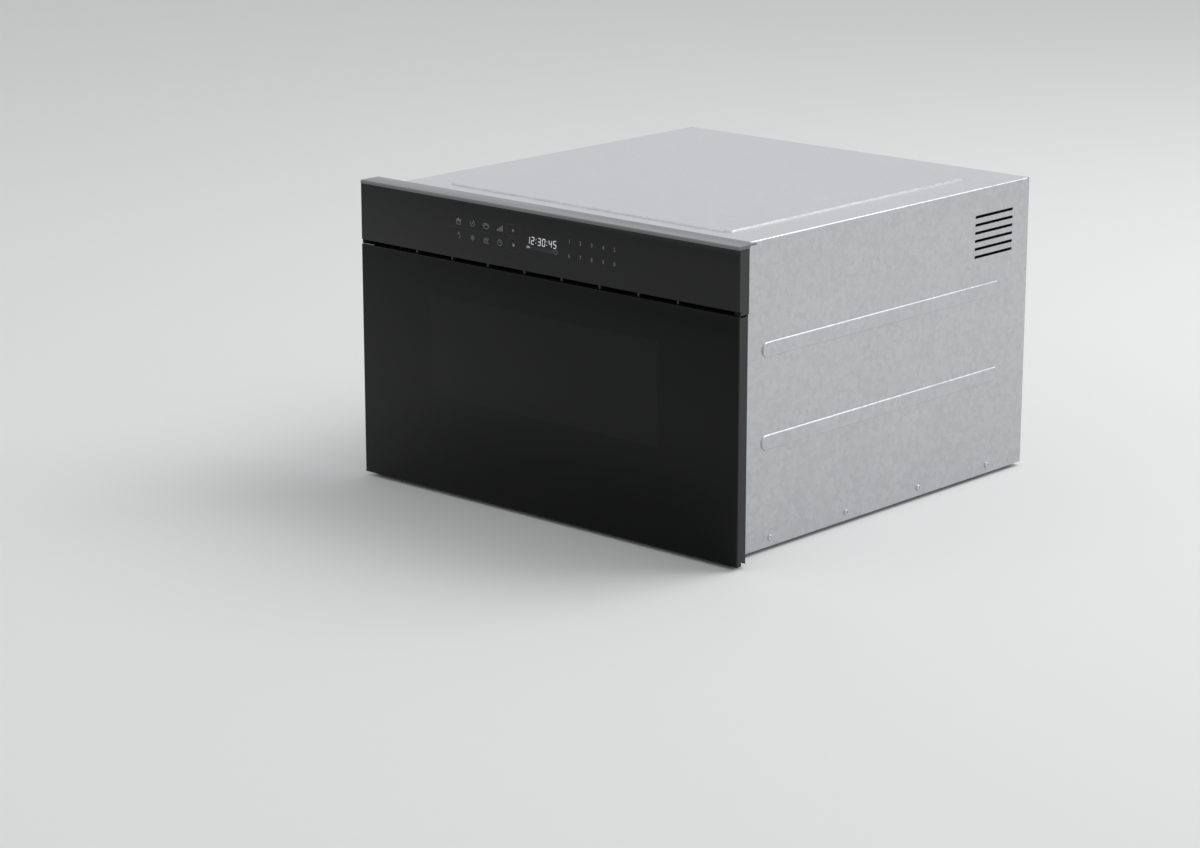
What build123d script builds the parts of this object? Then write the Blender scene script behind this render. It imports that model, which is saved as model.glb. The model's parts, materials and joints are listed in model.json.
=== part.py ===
from build123d import *
from math import acos, ceil, cos, floor, pi, radians, sin, tan
import os

# Microwave drawer, 24-inch class, in millimetres.
# X runs to the right, -Y out of the front, +Z up; the origin is under the middle of the object.

# Overall size
overall_width = 606.4
overall_height = 376.2
overall_depth = 593.7

# Front, from the top down
trim_height = 4.0
panel_height = 70.3
air_gap = 5.4
bottom_gap = 5.0

# Layers of the front, from the glass back
glass_thickness = 4.0
glass_edge = 0.6
front_thickness = 18.5
seal_gap = 0.5
frame_sheet = 1.2

# Case
case_inset = 25.4
case_top_drop = 5.0
cover_sheet = 0.8
pan_sheet = 1.2
rear_sheet = 1.2
rear_proud = 3.0
skid_height = 5.0
skid_width = 30.0
skid_spacing = 128.0
skid_count = 4
pan_rim = 18.0
flange_inset = 3.2
flange_hole = 4.8
flange_hole_edge = 10.0
flange_hole_up = 190.0
flange_hole_mid_z = 155.0
bay_depth = 142.5

# Oven and drawer tub
tub_case_gap = 54.3
tub_wall = 3.0
tub_side_gap = 3.0
tub_rear_gap = 3.5
tub_headroom = 21.2
tub_draft = 1.5
tub_corner = 16.0
tub_lip = 2.0
tub_foot_radius = 8.0
tray_thickness = 4.0
tray_gap = 4.0
oven_floor_z = 92.0
oven_headroom = 26.5
oven_sheet = 1.0
oven_corner = 12.0
glide_height = 5.0
glide_gap = 0.3
runner_height = 1.5
runner_width = 16.0
runner_inset = 43.5
window_side = 39.5
window_headroom = 45.8
window_bottom_z = 124.7
choke_width = 22.0
choke_wall = 1.0
choke_cover_thickness = 1.6
choke_slit = 3.0
choke_pitch = 21.0

# Telescopic rails
rail_overlap = 61.0
rail_height = 45.0
rail_thickness = 12.8
rail_sheet = 1.2
rail_clearance = 0.4
rail_lip = 3.0
rail_mid_z = 36.5
rail_rear_gap = 123.3
rail_case_gap = 7.6
bracket_sheet = 1.5
arm_sheet = 2.2
slot_gap = 2.0

# Rack drive: two pinions on a cross shaft, turned by a geared motor
rack_module = 2.0
pinion_teeth = 17
rack_width = 10.0
rack_backing = 6.0
pinion_width = 8.0
shaft_radius = 5.0
shaft_z = 27.0
shaft_setback = 31.0
drive_module = 1.5
driven_teeth = 20
motor_teeth = 16
drive_face = 8.0
drive_x = 60.0
backlash = 0.16
pressure_angle = radians(20)
dedendum = 1.25
running_gap = 0.05

# Waves and air
guide_height = 34.0
guide_width = 90.0
guide_sheet = 1.0
chamber_width = 200.0
chamber_depth = 150.0
chamber_setback = 136.0
stirrer_radius = 58.0
stirrer_shaft_radius = 3.0
magnetron_width = 96.0
magnetron_depth = 80.0
yoke_height = 88.0
fin_count = 6
fan_radius = 54.0
fan_tip_gap = 3.0
fan_blades = 5
fan_shaft_radius = 3.0
bulkhead_x = -92.0
duct_wall = 1.5
duct_height = 36.0

# Planes and levels that the pieces share
front_y = -overall_depth / 2
rear_y = overall_depth / 2
half_width = overall_width / 2
glass_back_y = front_y + glass_thickness
door_back_y = front_y + front_thickness
frame_y = door_back_y + seal_gap
frame_back_y = frame_y + frame_sheet
rear_out_y = rear_y - rear_proud
rear_in_y = rear_out_y - rear_sheet
drawer_bottom_z = bottom_gap
panel_top_z = overall_height - trim_height
panel_bottom_z = panel_top_z - panel_height
drawer_top_z = panel_bottom_z - air_gap
drawer_height = drawer_top_z - drawer_bottom_z
drawer_mid_z = (drawer_top_z + drawer_bottom_z) / 2
panel_mid_z = (panel_top_z + panel_bottom_z) / 2
case_top_z = overall_height - case_top_drop
case_half = half_width - case_inset
case_width = 2 * case_half
cover_in_x = case_half - cover_sheet
flange_width = 2 * (half_width - flange_inset)
flange_hole_across = flange_width - 2 * flange_hole_edge
pan_floor_z = skid_height
pan_top_z = pan_floor_z + pan_sheet

oven_out_back_y = rear_in_y - bay_depth
oven_back_y = oven_out_back_y - oven_sheet
oven_depth = oven_back_y - frame_back_y
oven_top_z = drawer_top_z - oven_headroom
oven_height = oven_top_z - oven_floor_z
oven_mid_z = oven_floor_z + oven_height / 2
oven_out_top_z = oven_top_z + oven_sheet
bay_mid_y = oven_out_back_y + bay_depth / 2

tub_width = case_width - 2 * tub_case_gap
tub_depth = oven_back_y - tub_rear_gap - door_back_y
tub_inner_width = tub_width - 2 * (tub_wall + tub_lip)
tub_inner_depth = tub_depth - 2 * (tub_wall + tub_lip)
tub_mid_y = door_back_y + tub_depth / 2
tub_floor_z = oven_floor_z + runner_height + glide_gap + glide_height
tub_top_z = oven_top_z - tub_headroom
tub_height = tub_top_z - tub_floor_z
oven_width = tub_width + 2 * tub_side_gap
runner_offset = tub_width / 2 - runner_inset
window_width = tub_width - 2 * window_side
window_height = drawer_top_z - window_headroom - window_bottom_z
window_mid_z = window_bottom_z + window_height / 2

rail_out_x = cover_in_x - rail_case_gap
rail_length = rear_in_y - rail_rear_gap - frame_back_y
travel = rail_length - rail_overlap
rail_in_x = rail_out_x - rail_thickness
outer_inner_half = rail_height / 2 - rail_sheet
middle_half = outer_inner_half - rail_lip - rail_clearance
middle_out_x = rail_out_x - 2 * rail_sheet
middle_in_x = rail_in_x + rail_sheet + rail_clearance
inner_half = middle_half - rail_sheet - rail_clearance
arm_in_x = rail_in_x - arm_sheet
rack_in_x = arm_in_x - rack_width
shaft_y = frame_y + shaft_setback
pinion_pitch_radius = rack_module * pinion_teeth / 2
rack_pitch_z = shaft_z + pinion_pitch_radius
rack_top_z = rack_pitch_z + rack_module + rack_backing
driven_pitch_radius = drive_module * driven_teeth / 2
motor_pitch_radius = drive_module * motor_teeth / 2
motor_y = shaft_y + driven_pitch_radius + motor_pitch_radius

BACK = (0, 1, 0)


def facing(y):
    """Upright plane at depth y, seen from the front: its x is X and its y is Z."""
    return Plane.XZ.offset(-y)


def level(z):
    """Level plane at height z."""
    return Plane.XY.offset(z)


def side(x):
    """Upright plane across X: its x is Y and its y is Z."""
    return Plane.YZ.offset(x)


def finish(piece, name):
    """Name a piece and write it."""
    piece.part.label = name
    export_step(piece.part, f"parts/{name}.step")


def involute(angle):
    return tan(angle) - angle


def gear_outline(teeth, module):
    """Outline of a spur gear, its first tooth on the sketch's +Y axis."""
    pitch = module * teeth / 2
    base = pitch * cos(pressure_angle)
    root = pitch - dedendum * module
    tip = pitch + module
    at_pitch = pi / (2 * teeth) - backlash / (4 * pitch) + involute(pressure_angle)

    def half_angle(radius):
        return at_pitch - involute(acos(min(1.0, base / radius)))

    foot = max(base, root)
    middle = (foot + tip) / 2
    flank = [(tip, half_angle(tip)), (middle, half_angle(middle)), (foot, half_angle(foot))]
    if root < base:
        flank.append((root, half_angle(base)))
    corners = []
    for tooth in range(teeth):
        turn = 2 * pi * tooth / teeth
        rising = [(r, turn - a) for r, a in reversed(flank)]
        falling = [(r, turn + a) for r, a in flank]
        corners += [(r * sin(a), r * cos(a)) for r, a in rising + falling]
    with BuildSketch() as outline:
        with BuildLine():
            Polyline(*corners, close=True)
        make_face()
    return outline.sketch


os.makedirs("parts", exist_ok=True)

# Screws of the case: through the rear panel into the cover's tabs, and through the cover into the pan
screw_radius = 2.0
screw_head_radius = 4.0
screw_head_height = 1.8
screw_head_slope = 20.0
rear_screw_inset = 9.0
rear_screw_end = 60.0
rear_screw_x = 120.0
side_screw_rise = 10.0
side_screw_count = 4
rear_height = case_top_z - pan_floor_z
rear_mid_z = (case_top_z + pan_floor_z) / 2
case_depth = rear_in_y - frame_back_y
case_mid_y = (rear_in_y + frame_back_y) / 2
screw_spots = [(sx * (case_half - rear_screw_inset), rear_mid_z + sz * (rear_height / 2 - rear_screw_end))
               for sx in (-1, 1) for sz in (-1, 0, 1)]
screw_spots += [(sx * rear_screw_x, case_top_z - rear_screw_inset) for sx in (-1, 1)]
side_screw_pitch = case_depth / side_screw_count
side_screw_z = pan_floor_z + side_screw_rise
side_spots = [(case_mid_y + (i - (side_screw_count - 1) / 2) * side_screw_pitch, side_screw_z)
              for i in range(side_screw_count)]

# Pressings in the sheets: every wall leans by the same angle, so the sheet keeps its thickness there
press_rise = 1.5
press_corner = 14.0
press_lean = 30.0
lean_share = (1 - sin(radians(press_lean))) / cos(radians(press_lean))

# Base pan: floor with pressed skids, folded rims and inlet slots
pan_half = cover_in_x
inlet_slot_pitch = 12.0
inlet_slot_width = 4.0
inlet_slot_count = 5
skid_places = [(i - (skid_count - 1) / 2) * skid_spacing for i in range(skid_count)]
with BuildPart() as base_pan:
    with BuildSketch(facing(frame_back_y)):
        with Locations((0, pan_floor_z + pan_sheet / 2)):
            Rectangle(2 * pan_half, pan_sheet)
        for sign in (-1, 1):
            with Locations((sign * (pan_half - pan_sheet / 2), pan_floor_z + pan_rim / 2)):
                Rectangle(pan_sheet, pan_rim)
        for x in skid_places:
            slope = skid_height / 2
            with BuildLine():
                Polyline(
                    (x - skid_width / 2, pan_top_z),
                    (x - skid_width / 2, pan_floor_z),
                    (x - skid_width / 2 + slope, 0),
                    (x + skid_width / 2 - slope, 0),
                    (x + skid_width / 2, pan_floor_z),
                    (x + skid_width / 2, pan_top_z),
                    close=True,
                )
            make_face()
            with BuildLine():
                Polyline(
                    (x - skid_width / 2 + pan_sheet, pan_top_z),
                    (x - skid_width / 2 + slope + pan_sheet, pan_sheet),
                    (x + skid_width / 2 - slope - pan_sheet, pan_sheet),
                    (x + skid_width / 2 - pan_sheet, pan_top_z),
                    close=True,
                )
            make_face(mode=Mode.SUBTRACT)
    extrude(amount=case_depth, dir=BACK)
    inlet_y = frame_back_y + oven_depth / 2
    with BuildSketch(level(pan_floor_z)):
        for x in ((skid_places[i] + skid_places[i + 1]) / 2 for i in range(skid_count - 1)):
            with Locations((x, inlet_y)):
                with GridLocations(0, inlet_slot_pitch, 1, inlet_slot_count):
                    SlotOverall((skid_spacing - skid_width) / 2, inlet_slot_width)
    extrude(amount=pan_sheet, mode=Mode.SUBTRACT)
    with BuildSketch(side(-pan_half)):
        with Locations(*side_spots):
            Circle(screw_radius)
    extrude(amount=2 * pan_half, mode=Mode.SUBTRACT)
finish(base_pan, "base_pan")

# Outer cover: one folded wrapper for the top and both sides, with a raised panel on top,
# swages along the sides, vents high on each side, and tabs behind for the rear panel
cover_fold = 2.5
side_vent_drop = 60.0
side_vent_pitch = 10.0
side_vent_count = 6
side_vent_width = 3.5
side_vent_share = 0.55
cover_press_margin = 52.0
swage_width = 18.0
swage_drop = 130.0
swage_spacing = 110.0
rear_tab = 18.0
tab_foot_gap = 1.0
with BuildPart() as outer_cover:
    with BuildSketch(facing(frame_back_y)):
        with Locations((0, pan_floor_z + rear_height / 2)):
            Rectangle(case_width, rear_height)
        with Locations((0, pan_floor_z + (rear_height - cover_sheet) / 2)):
            Rectangle(2 * cover_in_x, rear_height - cover_sheet, mode=Mode.SUBTRACT)
    extrude(amount=case_depth, dir=BACK)
    fold = outer_cover.edges().filter_by(Axis.Y).group_by(Axis.Z)[-1]
    fillet(fold, cover_fold)
    # Raised panel on top, pressed from within
    press_wide = case_width - 2 * cover_press_margin
    press_deep = case_depth - 2 * cover_press_margin
    inset = 2 * cover_sheet * lean_share
    with BuildSketch(level(case_top_z)):
        with Locations((0, case_mid_y)):
            RectangleRounded(press_wide, press_deep, press_corner)
    extrude(amount=press_rise, taper=press_lean)
    with BuildSketch(level(case_top_z - cover_sheet)):
        with Locations((0, case_mid_y)):
            RectangleRounded(press_wide - inset, press_deep - inset, press_corner - inset / 2)
    extrude(amount=press_rise, taper=press_lean, mode=Mode.SUBTRACT)
    # Swages along each side
    for sign in (-1, 1):
        with BuildSketch(side(sign * case_half)):
            with Locations((case_mid_y, case_top_z - swage_drop - swage_spacing / 2)):
                with GridLocations(0, swage_spacing, 1, 2):
                    SlotOverall(press_deep, swage_width)
        extrude(amount=sign * press_rise, taper=press_lean)
        with BuildSketch(side(sign * cover_in_x)):
            with Locations((case_mid_y, case_top_z - swage_drop - swage_spacing / 2)):
                with GridLocations(0, swage_spacing, 1, 2):
                    SlotOverall(press_deep - inset, swage_width - inset)
        extrude(amount=sign * press_rise, taper=press_lean, mode=Mode.SUBTRACT)
    with BuildSketch(side(-case_half)):
        with Locations((bay_mid_y, case_top_z - side_vent_drop)):
            with GridLocations(0, side_vent_pitch, 1, side_vent_count):
                SlotOverall(side_vent_share * bay_depth, side_vent_width)
        with Locations(*side_spots):
            Circle(screw_radius)
    extrude(amount=case_width, mode=Mode.SUBTRACT)
    # Tabs for the rear panel's screws
    tab_height = rear_height - cover_sheet - pan_rim - tab_foot_gap
    with BuildSketch(facing(rear_in_y - cover_sheet)):
        for sign in (-1, 1):
            with Locations((sign * (cover_in_x - rear_tab / 2), case_top_z - cover_sheet)):
                Rectangle(rear_tab, tab_height, align=(Align.CENTER, Align.MAX))
            with Locations((sign * rear_screw_x, case_top_z - cover_sheet)):
                Rectangle(rear_tab, rear_tab, align=(Align.CENTER, Align.MAX))
        with Locations(*screw_spots):
            Circle(screw_radius, mode=Mode.SUBTRACT)
    extrude(amount=cover_sheet, dir=BACK)
finish(outer_cover, "outer_cover")

# Rear panel: closes the wrapper, with lanced louvres and the cord's hole
gland_case_gap = 47.0
gland_x = gland_case_gap - cover_in_x
gland_z = 60.0
gland_radius = 11.0
louvre_width = 46.0
louvre_gap = 10.0
louvre_pitch = 12.0
louvre_rise = 6.0
louvre_rows = 9
louvre_drop = 60.0
louvre_group_x = (160.0, -30.0)
rear_press_drop = 90.0
rear_press_height = 96.0
rear_press_share = 0.8
with BuildPart() as rear_panel:
    with BuildSketch(facing(rear_in_y)):
        with Locations((0, rear_mid_z)):
            Rectangle(case_width, rear_height)
        with Locations((gland_x, gland_z)):
            Circle(gland_radius, mode=Mode.SUBTRACT)
        with Locations(*screw_spots):
            Circle(screw_radius, mode=Mode.SUBTRACT)
    extrude(amount=rear_sheet, dir=BACK)
    # Stiffening panel across the upper half, pressed from within
    inset = 2 * rear_sheet * lean_share
    press_wide = rear_press_share * case_width
    with BuildSketch(facing(rear_out_y)):
        with Locations((0, case_top_z - rear_press_drop)):
            RectangleRounded(press_wide, rear_press_height, press_corner)
    extrude(amount=press_rise, dir=BACK, taper=press_lean)
    with BuildSketch(facing(rear_in_y)):
        with Locations((0, case_top_z - rear_press_drop)):
            RectangleRounded(press_wide - inset, rear_press_height - inset, press_corner - inset / 2)
    extrude(amount=press_rise, dir=BACK, taper=press_lean, mode=Mode.SUBTRACT)
    # Louvres, open downwards
    louvre_feet = [rear_mid_z - louvre_drop + (i - (louvre_rows - 1) / 2) * louvre_pitch
                   for i in range(louvre_rows)]
    for group in louvre_group_x:
        for x in (group - louvre_gap / 2 - louvre_width, group + louvre_gap / 2):
            with BuildSketch(side(x)):
                for foot in louvre_feet:
                    with BuildLine():
                        Polyline((rear_out_y, foot), (rear_y, foot), (rear_out_y, foot + louvre_rise),
                                 close=True)
                    make_face()
            extrude(amount=louvre_width)
            with BuildSketch(side(x + rear_sheet)):
                for foot in louvre_feet:
                    with BuildLine():
                        Polyline((rear_in_y, foot), (rear_y - rear_sheet, foot),
                                 (rear_in_y, foot + louvre_rise), close=True)
                    make_face()
            extrude(amount=louvre_width - 2 * rear_sheet, mode=Mode.SUBTRACT)
finish(rear_panel, "rear_panel")

# Case screws: pan heads with short shanks in the holes of both sheets
with BuildPart() as case_screws:
    with BuildSketch(facing(rear_in_y - cover_sheet)):
        with Locations(*screw_spots):
            Circle(screw_radius)
    extrude(amount=cover_sheet + rear_sheet, dir=BACK)
    with BuildSketch(facing(rear_out_y)):
        with Locations(*screw_spots):
            Circle(screw_head_radius)
    extrude(amount=screw_head_height, dir=BACK, taper=screw_head_slope)
    for sign in (-1, 1):
        with BuildSketch(side(sign * (pan_half - pan_sheet))):
            with Locations(*side_spots):
                Circle(screw_radius)
        extrude(amount=sign * (pan_sheet + cover_sheet))
        with BuildSketch(side(sign * case_half)):
            with Locations(*side_spots):
                Circle(screw_head_radius)
        extrude(amount=sign * screw_head_height, taper=screw_head_slope)
finish(case_screws, "case_screws")

# Cord gland: snap-in strain relief, with the bore for the supply cord
gland_bore = 4.2
gland_neck = 12.0
gland_neck_step = 1.5
gland_collar = 3.0
gland_slope = 15.0
with BuildPart() as cord_gland:
    with BuildSketch(facing(rear_in_y - gland_neck)):
        with Locations((gland_x, gland_z)):
            Circle(gland_radius - gland_neck_step)
    extrude(amount=gland_neck, dir=BACK)
    with BuildSketch(facing(rear_in_y)):
        with Locations((gland_x, gland_z)):
            Circle(gland_radius)
    extrude(amount=rear_sheet, dir=BACK)
    with BuildSketch(facing(rear_out_y)):
        with Locations((gland_x, gland_z)):
            Circle(gland_radius + gland_collar)
    extrude(amount=rear_proud, dir=BACK, taper=gland_slope)
    with BuildSketch(facing(rear_y)):
        with Locations((gland_x, gland_z)):
            Circle(gland_bore)
    extrude(amount=-(rear_proud + rear_sheet + gland_neck), dir=BACK, mode=Mode.SUBTRACT)
finish(cord_gland, "cord_gland")

# Front frame: face plate of the oven and mounting flange, with every opening the front needs
rail_slot_in_x = rack_in_x - slot_gap
rail_slot_out_x = rail_out_x + slot_gap
rail_slot_height = rail_height + 2 * slot_gap
latch_case_gap = 14.0
latch_x = cover_in_x - latch_case_gap
latch_z = 160.0
latch_width = 6.0
latch_height = 26.0
vent_inset = 55.0
vent_edge = 0.4
vent_width = flange_width - 2 * vent_inset
vent_height = air_gap - 2 * vent_edge
vent_z = panel_bottom_z - air_gap / 2
wiring_slot_width = 120.0
wiring_slot_height = 24.0
frame_bottom_z = bottom_gap
frame_top_z = panel_top_z
with BuildPart() as front_frame:
    with BuildSketch(facing(frame_y)):
        with Locations((0, (frame_bottom_z + frame_top_z) / 2)):
            Rectangle(flange_width, frame_top_z - frame_bottom_z)
        with Locations((0, oven_mid_z)):
            RectangleRounded(oven_width, oven_height, oven_corner, mode=Mode.SUBTRACT)
        with Locations((0, flange_hole_mid_z)):
            with GridLocations(flange_hole_across, flange_hole_up, 2, 2):
                Circle(flange_hole / 2, mode=Mode.SUBTRACT)
        for sign in (-1, 1):
            with Locations((sign * (rail_slot_in_x + rail_slot_out_x) / 2, rail_mid_z)):
                Rectangle(rail_slot_out_x - rail_slot_in_x, rail_slot_height, mode=Mode.SUBTRACT)
            with Locations((sign * latch_x, latch_z)):
                Rectangle(latch_width + 2 * slot_gap, latch_height + 2 * slot_gap, mode=Mode.SUBTRACT)
        with Locations((0, vent_z)):
            Rectangle(vent_width, vent_height, mode=Mode.SUBTRACT)
        with Locations((0, panel_mid_z)):
            Rectangle(wiring_slot_width, wiring_slot_height, mode=Mode.SUBTRACT)
    extrude(amount=frame_sheet, dir=BACK)
finish(front_frame, "front_frame")

# Vent grille: air outlet behind the gap, its ribs reaching forward through the slot
rib_spacing = flange_width / 10
rib_count = 8
rib_width = 3.0
grille_depth = 6.0
grille_lip = 5.0
grille_brow = 4.0
vane_thickness = 0.8
vane_setback = 2.0
grille_height = vent_height + 2 * grille_brow
with BuildPart() as vent_grille:
    with BuildSketch(facing(frame_back_y)):
        with Locations((0, vent_z)):
            Rectangle(vent_width + 2 * grille_lip, grille_height)
            Rectangle(vent_width, vent_height, mode=Mode.SUBTRACT)
    extrude(amount=grille_depth, dir=BACK)
    with BuildSketch(facing(frame_y)):
        with Locations((0, vent_z)):
            with GridLocations(rib_spacing, 0, rib_count, 1):
                Rectangle(rib_width, vent_height)
    extrude(amount=frame_sheet + grille_depth, dir=BACK)
    with BuildSketch(facing(frame_back_y + vane_setback)):
        with Locations((0, vent_z)):
            Rectangle(vent_width, vane_thickness)
    extrude(amount=grille_depth - vane_setback, dir=BACK)
finish(vent_grille, "vent_grille")

# Bottom trim: recessed slotted strip under the drawer, the cool air's way in
trim_setback = 12.0
trim_clearance = 0.4
trim_end_gap = 6.0
trim_rib = 8.0
trim_rail = 1.0
with BuildPart() as bottom_trim:
    strip_height = bottom_gap - trim_clearance
    with BuildSketch(facing(front_y + trim_setback)):
        with Locations((0, strip_height / 2)):
            Rectangle(flange_width - 2 * trim_end_gap, strip_height)
            with GridLocations(rib_spacing, 0, rib_count + 1, 1):
                Rectangle(rib_spacing - trim_rib, strip_height - 2 * trim_rail, mode=Mode.SUBTRACT)
    extrude(amount=frame_back_y - front_y - trim_setback, dir=BACK)
finish(bottom_trim, "bottom_trim")

# Oven cavity: deep-drawn steel box, its front lip welded to the frame
feed_width = 180.0
feed_depth = 130.0
feed_y = frame_y + chamber_setback + chamber_depth / 2
lamp_setback = 300.0
lamp_drop = 55.0
perforation_radius = 2.0
perforation_pitch = 6.5
lamp_holes = 5
air_holes = (8, 4)
cavity_lip = 10.0
runner_end_gap = 12.0
lamp_y = frame_y + lamp_setback
lamp_z = oven_top_z - lamp_drop
with BuildPart() as oven_cavity:
    with BuildSketch(facing(frame_back_y)):
        with Locations((0, oven_mid_z)):
            RectangleRounded(oven_width + 2 * oven_sheet, oven_height + 2 * oven_sheet,
                             oven_corner + oven_sheet)
    extrude(amount=oven_depth + oven_sheet, dir=BACK)
    with BuildSketch(facing(frame_back_y)):
        with Locations((0, oven_mid_z)):
            RectangleRounded(oven_width, oven_height, oven_corner)
    extrude(amount=oven_depth, dir=BACK, mode=Mode.SUBTRACT)
    with BuildSketch(facing(frame_back_y)):
        with Locations((0, oven_mid_z)):
            RectangleRounded(oven_width + 2 * cavity_lip, oven_height + 2 * cavity_lip,
                             oven_corner + cavity_lip)
            RectangleRounded(oven_width, oven_height, oven_corner, mode=Mode.SUBTRACT)
    extrude(amount=oven_sheet, dir=BACK)
    # Runners that the tub's glides ride on
    with BuildSketch(level(oven_floor_z)):
        with Locations((0, frame_back_y + oven_depth / 2)):
            with GridLocations(2 * runner_offset, 0, 2, 1):
                Rectangle(runner_width, oven_depth - 2 * runner_end_gap)
    extrude(amount=runner_height)
    # Feed aperture under the stirrer chamber
    with BuildSketch(level(oven_top_z)):
        with Locations((0, feed_y)):
            Rectangle(feed_width, feed_depth)
    extrude(amount=oven_sheet, mode=Mode.SUBTRACT)
    # Lamp perforations on the left, air perforations on the right
    with BuildSketch(side(-oven_width / 2 - oven_sheet)):
        with Locations((lamp_y, lamp_z)):
            with GridLocations(perforation_pitch, perforation_pitch, lamp_holes, lamp_holes):
                RegularPolygon(perforation_radius, 6)
    extrude(amount=oven_sheet, mode=Mode.SUBTRACT)
    with BuildSketch(side(oven_width / 2)):
        with Locations((lamp_y, lamp_z)):
            with GridLocations(perforation_pitch, perforation_pitch, *air_holes):
                RegularPolygon(perforation_radius, 6)
    extrude(amount=oven_sheet, mode=Mode.SUBTRACT)
finish(oven_cavity, "oven_cavity")

# Mica sheet under the feed aperture, held by the ceiling
mica_thickness = 0.6
mica_lap = 12.0
mica_corner = 6.0
with BuildPart() as waveguide_cover:
    with BuildSketch(level(oven_top_z - mica_thickness)):
        with Locations((0, feed_y)):
            RectangleRounded(feed_width + 2 * mica_lap, feed_depth + 2 * mica_lap, mica_corner)
    extrude(amount=mica_thickness)
finish(waveguide_cover, "waveguide_cover")

# Waveguide: stirrer chamber over the feed, and the guide that runs back to the magnetron
guide_end_gap = 8.0
guide_rear_gap = 6.0
guide_hole_gap = 2.0
guide_end_y = min(bay_mid_y + magnetron_depth / 2 + guide_end_gap, rear_in_y - guide_rear_gap)
chamber_y = frame_y + chamber_setback
guide_top_z = oven_out_top_z + guide_height
antenna_radius = 11.0
with BuildPart() as waveguide:
    with BuildSketch(level(oven_out_top_z)):
        with Locations((0, chamber_y)):
            Rectangle(chamber_width, chamber_depth, align=(Align.CENTER, Align.MIN))
            Rectangle(guide_width, guide_end_y - chamber_y, align=(Align.CENTER, Align.MIN))
    extrude(amount=guide_height)
    with BuildSketch(level(oven_out_top_z)):
        with Locations((0, chamber_y + guide_sheet)):
            Rectangle(chamber_width - 2 * guide_sheet, chamber_depth - 2 * guide_sheet,
                      align=(Align.CENTER, Align.MIN))
    extrude(amount=guide_height - guide_sheet, mode=Mode.SUBTRACT)
    with BuildSketch(level(oven_out_top_z + guide_sheet)):
        with Locations((0, chamber_y + guide_sheet)):
            Rectangle(guide_width - 2 * guide_sheet, guide_end_y - chamber_y - 2 * guide_sheet,
                      align=(Align.CENTER, Align.MIN))
    extrude(amount=guide_height - 2 * guide_sheet, mode=Mode.SUBTRACT)
    with BuildSketch(level(oven_out_top_z)):
        with Locations((0, bay_mid_y)):
            Circle(antenna_radius + guide_hole_gap)
    extrude(amount=guide_sheet, mode=Mode.SUBTRACT)
    with BuildSketch(level(guide_top_z - guide_sheet)):
        with Locations((0, feed_y)):
            Circle(stirrer_shaft_radius + guide_hole_gap)
    extrude(amount=guide_sheet, mode=Mode.SUBTRACT)
finish(waveguide, "waveguide")

# Mode stirrer: four inclined blades on a short shaft, in the chamber
stirrer_z = oven_out_top_z + guide_height / 2
motor_rise = 15.0
stirrer_hub_radius = 12.0
stirrer_hub_length = 8.0
stirrer_blades = 4
blade_width = 30.0
blade_sheet = 1.0
blade_tilt = 18.0
with BuildPart() as mode_stirrer:
    with BuildSketch(level(stirrer_z - stirrer_hub_length / 2)):
        with Locations((0, feed_y)):
            Circle(stirrer_hub_radius)
    extrude(amount=stirrer_hub_length)
    with BuildSketch(level(stirrer_z)):
        with Locations((0, feed_y)):
            Circle(stirrer_shaft_radius)
    extrude(amount=guide_top_z + motor_rise / 2 - stirrer_z)
    with Locations((0, feed_y, stirrer_z)):
        with PolarLocations(0, stirrer_blades):
            with Locations((stirrer_radius / 2, 0, 0)):
                Box(stirrer_radius, blade_width, blade_sheet, rotation=(blade_tilt, 0, 0))
finish(mode_stirrer, "mode_stirrer")

# Stirrer motor: flat synchronous motor on top of the chamber, with fixing ears and terminals
can_radius = 24.0
can_edge = 1.2
ear_spacing = 58.0
ear_width = 12.0
ear_sheet = 2.0
plug_width = 14.0
plug_depth = 8.0
plug_height = 5.0
plug_rise = 4.0
with BuildPart() as stirrer_motor:
    with BuildSketch(level(guide_top_z)):
        with Locations((0, feed_y)):
            Circle(can_radius)
            SlotCenterToCenter(ear_spacing, ear_width)
    extrude(amount=ear_sheet)
    with BuildSketch(level(guide_top_z)):
        with Locations((0, feed_y)):
            Circle(can_radius)
    extrude(amount=motor_rise)
    chamfer(stirrer_motor.edges().group_by(Axis.Z)[-1], can_edge)
    with BuildSketch(level(guide_top_z + plug_rise)):
        with Locations((0, feed_y + can_radius)):
            Rectangle(plug_width, plug_depth)
    extrude(amount=plug_height)
    with BuildSketch(level(guide_top_z)):
        with Locations((0, feed_y)):
            Circle(stirrer_shaft_radius + running_gap)
    extrude(amount=motor_rise / 2 + 1, mode=Mode.SUBTRACT)
finish(stirrer_motor, "stirrer_motor")

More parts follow.
